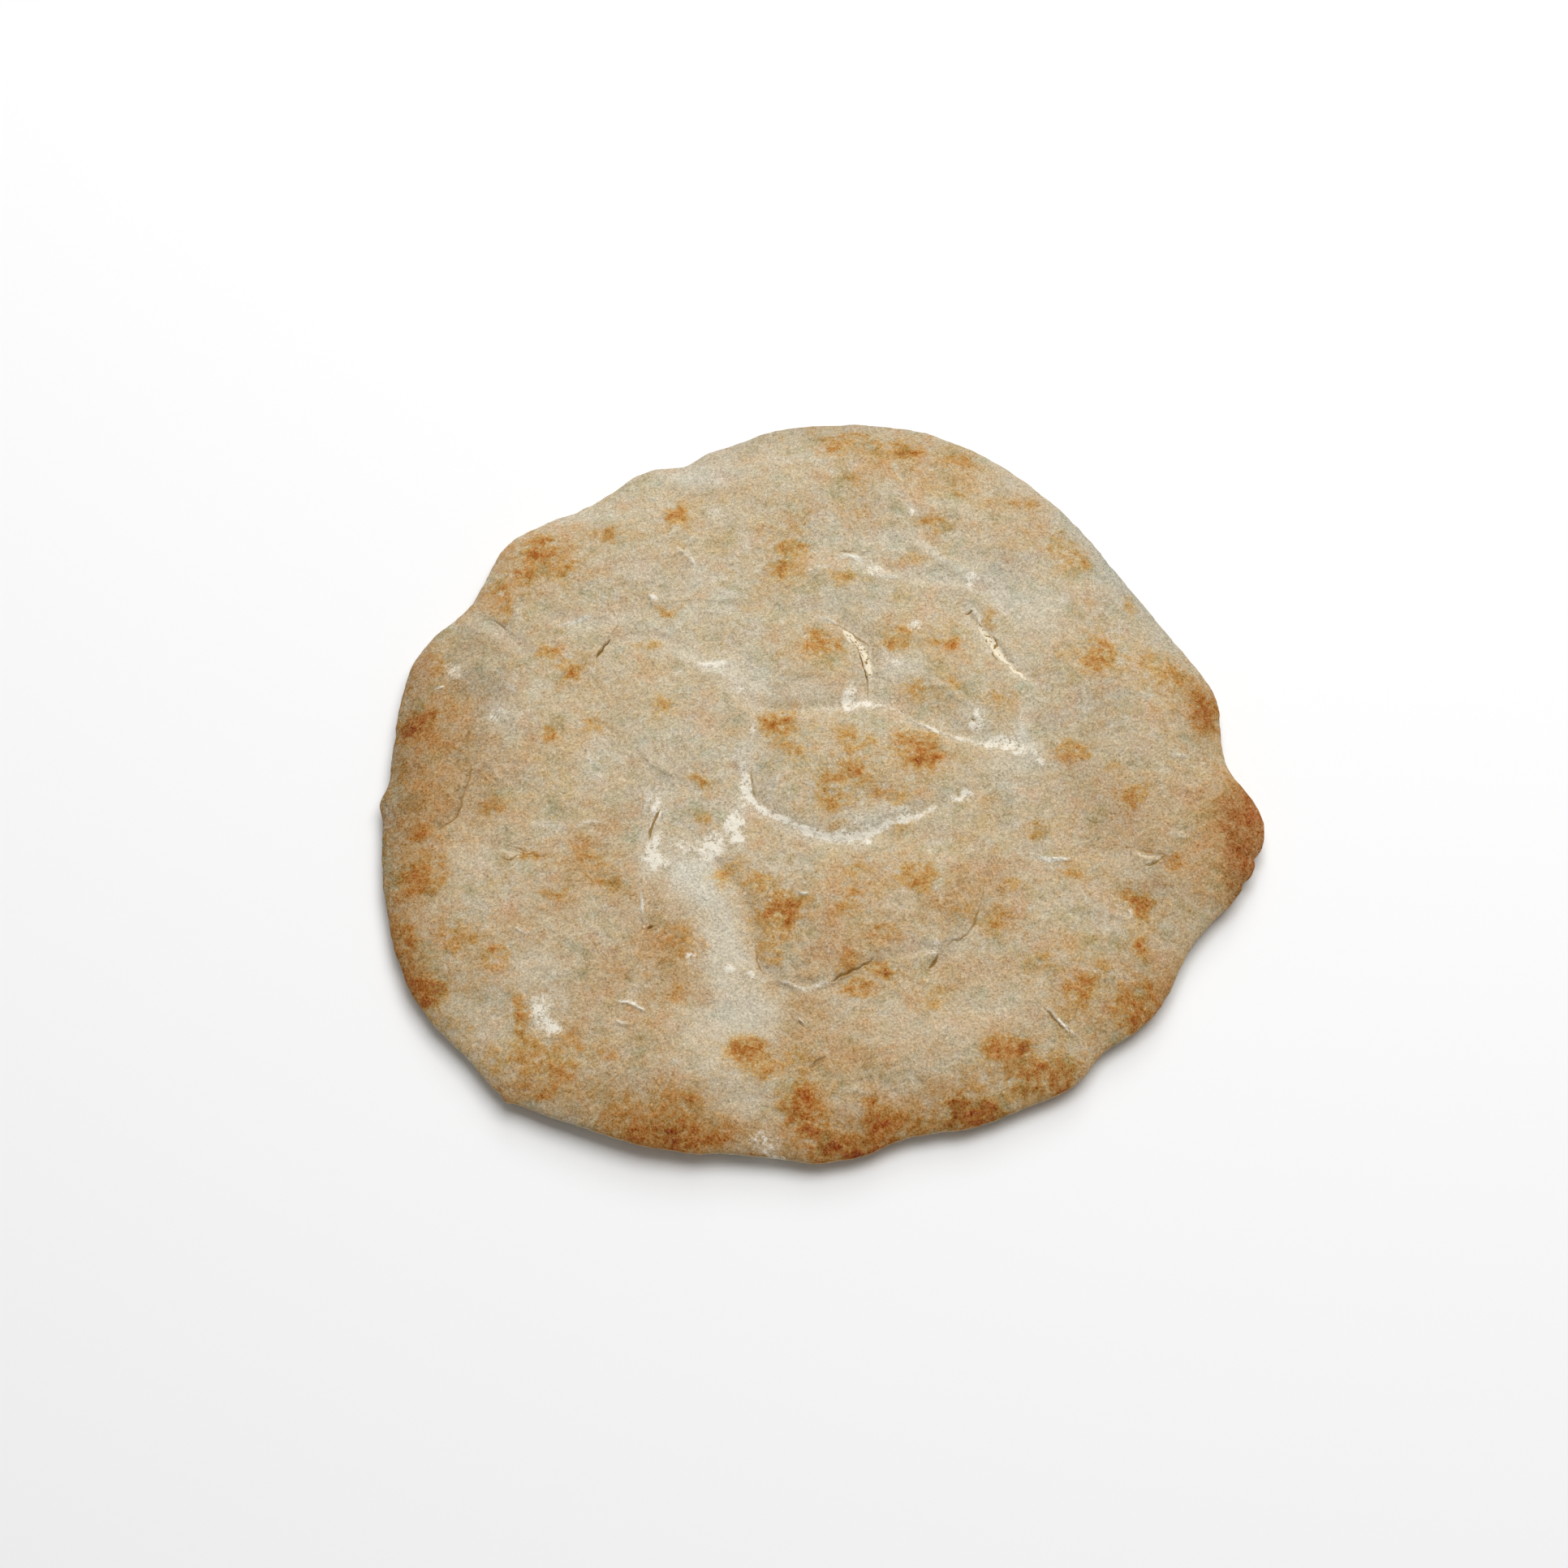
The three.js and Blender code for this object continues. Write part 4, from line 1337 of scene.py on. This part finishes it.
@dataclass(frozen=True)
class CrustFinish:
    """Floury baked crust, golden to brown where it caught the heat, with cream inside its tears.

    Each of the steps of heat is what it leaves of the crust's colour, as a multiplying colour. The pairs of
    covers, pits, pores and streak_change are where each begins and where it is full. streak_turns are the two
    ways that streaks run, in radians. Lengths and flow_push are in millimetres.
    """

    pale: str = "#c5bba5"
    rosy: str = "#ffefe4"
    grey: str = "#e4eae0"
    # The grey that painted shade multiplies the crust by
    painted_shade: str = "#d3d6d9"
    heat_steps: tuple[str, ...] = ("#f7d9a4", "#e8c08f", "#d9c3bb")
    scorch_steps: tuple[str, ...] = ("#eacea8", "#d8a468", "#d8c0b8")
    film: str = "#d2cebf"
    flour: str = "#ede5d4"
    pit: str = "#8f8362"
    cream: str = "#eadfc6"
    seam: str = "#9c7a40"
    shadow: str = "#6a5128"
    roughness: float = 0.88
    flour_roughness: float = 0.08
    gloss: float = 0.25
    tint_share: float = 0.1
    tint_length: float = 7.0
    tint_detail: float = 3.0
    tint_roughness: float = 0.6
    hue_shift: tuple[float, float, float] = (0.7, 0.3, 0.5)
    hue_middle: float = 0.5
    heat: float = 1.65
    scorch_heat: float = 2.0
    first_heat: float = 0.34
    grain_tint: tuple[float, float, float] = (0.5, 0.56, 0.65)
    grain_lift: tuple[float, float, float] = (0.255, 0.216, 0.15)
    flow_length: float = 15.0
    flow_detail: float = 1.0
    flow_roughness: float = 0.5
    flow_push: float = 10.0
    streak_turns: tuple[float, float] = (0.5, 2.1)
    streak_stretch: float = 4.0
    streak_change: tuple[float, float] = (0.42, 0.58)
    flour_cover: tuple[float, float] = (0.22, 0.82)
    flour_pits: tuple[float, float] = (0.8, 1.1)
    crumb_cover: tuple[float, float] = (0.0, 0.4)
    crumb_pores: tuple[float, float] = (0.62, 0.8)
    seam_cover: tuple[float, float] = (0.1, 0.6)
    shadow_cover: tuple[float, float] = (0.6, 0.95)
    wash: Weights = (
        (Texture.SPECK, 0.2), (Texture.FLECK, 0.45), (Texture.MOTTLE, 0.55), (Texture.CLOUD, 0.4),
    )
    veil: Weights = ((Texture.SPECK, 0.35), (Texture.FLECK, 0.5), (Texture.MOTTLE, 0.4))
    speckle: Weights = ((Texture.GRAIN, 0.45), (Texture.SPECK, 1.05), (Texture.FLECK, 0.9))
    mottling: Weights = ((Texture.GRAIN, 0.2), (Texture.SPECK, 0.3), (Texture.FLECK, 0.35))
    grains: Weights = ((Texture.DUST, 0.57), (Texture.GRAIN, 0.31), (Texture.STREAK, 0.3))
    clumps: Weights = (
        (Texture.DUST, 0.5), (Texture.GRAIN, 0.9), (Texture.SPECK, 0.9), (Texture.FLECK, 0.8),
    )
    slit_edge: Weights = ((Texture.SPECK, 0.25),)
    bumps: tuple[Bump, ...] = (
        Bump(0.6, 0.3, ((Texture.FLECK, 1.0),)),
        Bump(0.8, 0.22, ((Texture.SPECK, 1.0), (Texture.GRAIN, 0.4), (Texture.STREAK, 0.3))),
    )

    def material(self) -> bpy.types.Material:
        """The crust's material."""
        return CrustShader(self).material()


class CrustShader:
    """Builds the nodes of a crust's finish, one layer of colour over another."""

    def __init__(self, finish: CrustFinish) -> None:
        """Lays out the noises that the layers share.

        Args:
            finish: The finish's colours and strengths.
        """
        self.finish = finish
        self.sheet = NodeSheet(Slot.BAKED_DOUGH.value)
        self.places = self.sheet.add("ShaderNodeTexCoord", {}).outputs["Object"]
        shifted = self.sheet.vector(Step.ADD, self.places, finish.hue_shift)
        self.noises: dict[Texture, Socket] = {}
        for texture in Texture:
            if texture is not Texture.STREAK:
                places = shifted if texture is Texture.HUE else self.places
                self.noises[texture] = self.sheet.noise(places, texture)
        self.noises[Texture.STREAK] = self.streaks()

    def streaks(self) -> Socket:
        """Fine streaks that run one way in some places and another way in others.

        Returns:
            The streaks, 0 to 1.
        """
        sheet, finish = self.sheet, self.finish
        bend = sheet.tints(self.places, finish.flow_length, finish.flow_detail, finish.flow_roughness)
        flow = sheet.vector(Step.MULTIPLY_ADD, bend, (finish.flow_push * MM,) * 3, self.places)
        stretch = (finish.streak_stretch, 1.0, 1.0)
        ways = []
        for turn in finish.streak_turns:
            inputs = {"Vector": flow, "Rotation": (0.0, 0.0, turn), "Scale": stretch}
            mapped = sheet.add("ShaderNodeMapping", inputs, vector_type="TEXTURE").outputs[0]
            ways.append(sheet.noise(mapped, Texture.STREAK))
        pick = sheet.between(self.noises[Texture.DRIFT], *finish.streak_change)
        return sheet.math(Step.MULTIPLY_ADD, pick, sheet.math(Step.SUBTRACT, ways[1], ways[0]), ways[0])

    def uneven(self, weights: Weights, middle: float = 0.0) -> Socket:
        """Sum of noises about some middle.

        Args:
            weights: The noises and how strong each is.
            middle: What the sum is on average.

        Returns:
            The sum.
        """
        total: Socket | float = middle - sum(weight for _, weight in weights) / 2
        for texture, weight in weights:
            total = self.sheet.math(Step.MULTIPLY_ADD, self.noises[texture], weight, total)
        return total

    def laid(self, layer: Layer, weights: Weights, strength: float = 1.0) -> Socket:
        """A layer of the mesh with an uneven strength."""
        carried = self.sheet.math(Step.MULTIPLY, self.sheet.layer(layer), strength)
        return self.sheet.math(Step.MULTIPLY, carried, self.uneven(weights, 1.0))

    def material(self) -> bpy.types.Material:
        """Puts the layers over each other.

        Returns:
            The material.
        """
        sheet, finish = self.sheet, self.finish
        colour = self.crumb()
        colour = self.toasted(colour, self.uneven(finish.wash, finish.first_heat), finish.heat_steps)
        colour = sheet.blend(self.laid(Layer.FILM, finish.veil), colour, finish.film)
        colour = self.browned(colour)
        # Painted shade: a grey multiplied over the crust
        colour = sheet.blend(sheet.layer(Layer.PAINTED_SHADE), colour, finish.painted_shade, Mixing.MULTIPLY)
        colour = self.grained(colour)
        cover = sheet.between(self.laid(Layer.FLOUR, finish.clumps), *finish.flour_cover)
        colour = self.floured(colour, cover)
        colour = self.cracked(colour)
        rough = sheet.math(Step.MULTIPLY_ADD, cover, finish.flour_roughness, finish.roughness)
        return sheet.surface({"Base Color": colour, "Roughness": rough, "Specular IOR Level": finish.gloss,
                              "Normal": self.bumped()})

    def crumb(self) -> Socket:
        """Pale crust with a trace of other tints.

        Returns:
            The colour.
        """
        sheet, finish, hue = self.sheet, self.finish, self.noises[Texture.HUE]
        tints = sheet.tints(self.places, finish.tint_length, finish.tint_detail, finish.tint_roughness)
        colour = sheet.blend(finish.tint_share, linear(finish.pale), tints, Mixing.SOFT_LIGHT)
        rosy, grey = sheet.between(hue, finish.hue_middle, 1.0), sheet.between(hue, finish.hue_middle, 0.0)
        colour = sheet.blend(rosy, colour, finish.rosy, Mixing.MULTIPLY)
        return sheet.blend(grey, colour, finish.grey, Mixing.MULTIPLY)

    def toasted(self, colour: Socket, heat: Socket, steps: tuple[str, ...]) -> Socket:
        """A colour toasted step by step from beige to brown.

        Args:
            colour: The colour.
            heat: How many steps of heat it has had.
            steps: What each step leaves of the colour.

        Returns:
            The colour.
        """
        for step, code in enumerate(steps):
            share = self.sheet.math(Step.SUBTRACT, heat, step)
            colour = self.sheet.blend(share, colour, code, Mixing.MULTIPLY)
        return colour

    def browned(self, colour: Socket) -> Socket:
        """Spots that caught the heat, with pale grains left, and places that are scorched evenly.

        Args:
            colour: The crust's colour.

        Returns:
            The colour.
        """
        finish = self.finish
        spotted = self.laid(Layer.BROWNING, finish.speckle, finish.heat)
        even = self.laid(Layer.SCORCH, finish.mottling, finish.scorch_heat)
        return self.toasted(self.toasted(colour, spotted, finish.heat_steps), even, finish.scorch_steps)

    def grained(self, colour: Socket) -> Socket:
        """Lighter and darker grains over every colour, partly multiplied and partly added.

        Args:
            colour: The crust's colour.

        Returns:
            The colour.
        """
        light = self.uneven(self.finish.grains)
        scale = self.sheet.vector(Step.MULTIPLY_ADD, light, self.finish.grain_tint, (1.0, 1.0, 1.0))
        lift = self.sheet.vector(Step.MULTIPLY, light, self.finish.grain_lift)
        return self.sheet.vector(Step.MULTIPLY_ADD, colour, scale, lift)

    def floured(self, colour: Socket, cover: Socket) -> Socket:
        """Flour that lies on the crust in clumps with dark pits.

        Args:
            colour: The crust's colour.
            cover: How much flour covers it.

        Returns:
            The colour.
        """
        sheet, finish = self.sheet, self.finish
        pits = sheet.math(Step.MULTIPLY, sheet.between(self.noises[Texture.PIT], *finish.flour_pits), cover)
        return sheet.blend(pits, sheet.blend(cover, colour, finish.flour), finish.pit)

    def cracked(self, colour: Socket) -> Socket:
        """Cream with pores inside torn cracks, and open lines.

        Args:
            colour: The crust's colour.

        Returns:
            The colour.
        """
        sheet, finish, tear = self.sheet, self.finish, self.sheet.layer(Layer.TEAR)
        crumb = sheet.between(self.noises[Texture.SPECK], *finish.crumb_cover)
        pores = sheet.between(self.noises[Texture.PIT], *finish.crumb_pores)
        colour = sheet.blend(sheet.math(Step.MULTIPLY, tear, crumb), colour, finish.cream)
        colour = sheet.blend(sheet.math(Step.MULTIPLY, tear, pores), colour, finish.seam)
        slit = sheet.math(Step.ADD, sheet.layer(Layer.SLIT), self.uneven(finish.slit_edge))
        colour = sheet.blend(sheet.between(slit, *finish.seam_cover), colour, finish.seam)
        return sheet.blend(sheet.between(slit, *finish.shadow_cover), colour, finish.shadow)

    def bumped(self) -> Socket:
        """Fine unevenness of the crust.

        Returns:
            The shader's normal.
        """
        carried = {}
        for bump in self.finish.bumps:
            height = self.uneven(bump.noises)
            inputs = {"Height": height, "Strength": bump.strength, "Distance": bump.depth * MM}
            carried = {"Normal": self.sheet.add("ShaderNodeBump", inputs | carried).outputs["Normal"]}
        return carried["Normal"]


@dataclass
class PizzaBase:
    """The whole base: its mesh, what it carries for its finish, and its place in the frame.

    The top gets finer triangles where flour is thicker than refine_flour and, in turns, within
    refine_within of cracks and of ridges narrower than `narrow`. under_rings are the underside's rings: how
    far inwards each lies, in widths of the curve under the rim, and its number of points.
    """

    crust: Crust = field(default_factory=Crust)
    finish: CrustFinish = field(default_factory=CrustFinish)
    markings: Markings = field(init=False)
    refine_flour: float = 0.55
    refine_within: tuple[float, ...] = (2.0, 1.0)
    refine_inside: float = 0.5
    narrow: float = 0.79
    under_rings: tuple[tuple[float, int], ...] = (
        (0.02, 816), (0.06, 816), (0.2, 816), (0.45, 600), (0.75, 400), (1.0, 300), (1.8, 240), (3.5, 180),
        (6.0, 90), (9.0, 40),
    )

    def __post_init__(self) -> None:
        """Marks the crust."""
        self.markings = Markings(self.crust)

    def fine_lines(self) -> list[tuple[Seam, float]]:
        """Cracks and narrow ridges, each with how far it reaches to its sides."""
        cracks = [(crease, crease.tear) for crease in self.crust.creases if crease.is_open]
        return cracks + [(ridge, 0.0) for ridge in self.crust.ridges if ridge.half < self.narrow]

    def inside(self, plan: np.ndarray) -> np.ndarray:
        """Which places lie inside the edge, whose points the top shares with the underside."""
        return self.crust.outline.polar(plan)[1] > self.refine_inside

    def top_mesh(self) -> PlanMesh:
        """Triangles of the top, finer under flour and near cracks.

        Returns:
            The mesh over the plan.
        """
        mesh = PlanMesh(self.crust.outline)
        mesh.refine((self.markings.flour(mesh.points) > self.refine_flour) & self.inside(mesh.points))
        for within in self.refine_within:
            near = np.full(len(mesh.points), np.inf)
            for line, side in self.fine_lines():
                away, _ = line.measure(mesh.points)
                near = np.minimum(near, np.abs(away) - side)
            mesh.refine((near < within) & self.inside(mesh.points))
        return mesh

    def under_mesh(self, edge: np.ndarray, first: int) -> tuple[np.ndarray, np.ndarray]:
        """Points and triangles of the underside, from the edge inwards.

        Args:
            edge: Point numbers of the top's edge.
            first: Number that the first new point gets.

        Returns:
            Points in millimetres, and triangles.
        """
        outline = self.crust.outline
        places, faces = [], []
        outer, total = edge, first
        for part, count in self.under_rings:
            angle = PlanMesh.directions(count)
            places.append(outline.place(1.0, angle, part * outline.tuck(angle)))
            ring = np.arange(total, total + count)
            faces += PlanMesh.zip_rings(outer, ring)
            outer, total = ring, total + count
        places.append(np.array([outline.centre], float))
        faces += PlanMesh.zip_rings(outer, np.array([total]))
        plan = np.vstack(places)
        return np.column_stack([plan, self.crust.under(plan)]), np.array(faces)[:, [0, 2, 1]]

    def build(self) -> bpy.types.Object:
        """Makes the piece, dresses it and puts it in the frame.

        Returns:
            The piece.
        """
        top = self.top_mesh()
        upper = np.column_stack([top.points, self.crust.top(top.points, self.markings.heaps(top.points))])
        lower, under_faces = self.under_mesh(top.edge, len(upper))
        points = np.vstack([upper, lower])
        mesh = bpy.data.meshes.new("crust")
        mesh.from_pydata((points * MM).tolist(), [], np.vstack([top.faces, under_faces]).tolist())
        mesh.update()
        mesh.shade_smooth()
        self.carry(mesh, points[:, :2], np.arange(len(points)) >= len(upper))
        mesh.materials.append(self.finish.material())
        piece = bpy.data.objects.new("pizza_base_crust", mesh)
        bpy.context.scene.collection.objects.link(piece)
        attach(piece, BODY)
        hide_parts(NODE)
        return piece

    def carry(self, mesh: bpy.types.Mesh, plan: np.ndarray, below: np.ndarray) -> None:
        """Gives the mesh its layers.

        Args:
            mesh: The mesh.
            plan: The plan's x and y of its points.
            below: Which points are of the underside.
        """
        marks = self.markings
        share = np.where(below, marks.wall_share, 1.0)
        slit, tear = marks.cracks(plan)
        layers = {
            Layer.BROWNING: share * marks.browning(plan),
            Layer.SCORCH: np.maximum(share * marks.scorch(plan), below * marks.under_scorch(plan)),
            Layer.PAINTED_SHADE: marks.painted_shade(plan),
            Layer.FLOUR: marks.flour(plan),
            Layer.FILM: marks.film(plan),
            Layer.SLIT: slit,
            Layer.TEAR: tear,
        }
        for layer, values in layers.items():
            attribute = mesh.attributes.new(layer.value, "FLOAT", "POINT")
            attribute.data.foreach_set("value", values.astype(np.float32))


@dataclass(frozen=True)
class SoftLight:
    """A large lamp: its place in metres, how wide it is, and its power in watts."""

    name: str
    place: tuple[float, float, float]
    width: float
    power: float


@dataclass
class Studio:
    """A pale floor, soft light and the camera that the base is seen by.

    Places and lengths are in metres, the lens and its sensor in millimetres, the elevation in degrees.
    """

    floor_side: float = 6.0
    floor_colour: str = "#f8f8f8"
    floor_roughness: float = 0.9
    floor_gloss: float = 0.1
    sky_colour: str = "#ffffff"
    sky_strength: float = 0.225
    lights: tuple[SoftLight, ...] = (
        SoftLight("softbox", (0.3, 0.55, 1.9), 1.6, 34.0),
        SoftLight("window", (0.1, 1.66, 1.2), 0.8, 10.0),
    )
    elevation: float = 62.0
    lens: float = 100.0
    sensor: float = 36.0
    distance: float = 1.379
    aim: tuple[float, float, float] = (-0.0119, -0.0023, 0.007)

    def build(self) -> None:
        """Lays the floor, sets the lights and the camera."""
        self.lay_floor()
        self.set_lights()
        self.set_sky()
        self.set_camera()

    def lay_floor(self) -> None:
        """A plain matt floor under the base."""
        half = self.floor_side / 2
        corners = [(-half, -half, 0), (half, -half, 0), (half, half, 0), (-half, half, 0)]
        mesh = bpy.data.meshes.new("floor")
        mesh.from_pydata(corners, [], [(0, 1, 2, 3)])
        mesh.materials.append(NodeSheet("pale_floor").surface({
            "Base Color": linear(self.floor_colour), "Roughness": self.floor_roughness,
            "Specular IOR Level": self.floor_gloss,
        }))
        floor = bpy.data.objects.new("floor", mesh)
        bpy.context.scene.collection.objects.link(floor)
        floor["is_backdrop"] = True

    def set_lights(self) -> None:
        """Soft lamps that face the base."""
        for light in self.lights:
            lamp = bpy.data.lights.new(light.name, "AREA")
            lamp.size = light.width
            lamp.energy = light.power
            holder = bpy.data.objects.new(light.name, lamp)
            holder.location = light.place
            holder.rotation_euler = (-Vector(light.place)).to_track_quat("-Z", "Y").to_euler()
            bpy.context.scene.collection.objects.link(holder)

    def set_sky(self) -> None:
        """An even pale sky, and colours shown as they are."""
        world = bpy.data.worlds.new("sky")
        world.use_nodes = True
        background = world.node_tree.nodes["Background"]
        background.inputs["Color"].default_value = linear(self.sky_colour)
        background.inputs["Strength"].default_value = self.sky_strength
        bpy.context.scene.world = world
        bpy.context.scene.view_settings.view_transform = "Standard"

    def set_camera(self) -> None:
        """A long lens at the photograph's viewing angle."""
        data = bpy.data.cameras.new("camera")
        data.lens = self.lens
        data.sensor_width = self.sensor
        camera = bpy.data.objects.new("camera", data)
        slope = math.radians(self.elevation)
        back = Vector((0.0, -math.cos(slope), math.sin(slope))) * self.distance
        camera.location = Vector(self.aim) + back
        camera.rotation_euler = (math.radians(90.0 - self.elevation), 0.0, 0.0)
        bpy.context.scene.collection.objects.link(camera)
        bpy.context.scene.camera = camera


def write_sizes() -> None:
    """Gathers the solid's box and the finished piece's box, in metres, and does nothing more with them."""
    boxes = {"cad": CAD_BOX, "visual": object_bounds()}
    {name: [list(corner) for corner in box] for name, box in boxes.items()}


def main() -> None:
    """Builds the base and the studio, and reports each piece."""
    logging.basicConfig(level=logging.INFO)
    piece = PizzaBase().build()
    log.info("%s: %d triangles", piece.name, len(piece.data.polygons))
    Studio().build()
    log.info("studio: floor, lights and camera")
    write_sizes()


if __name__ == "__main__":
    main()
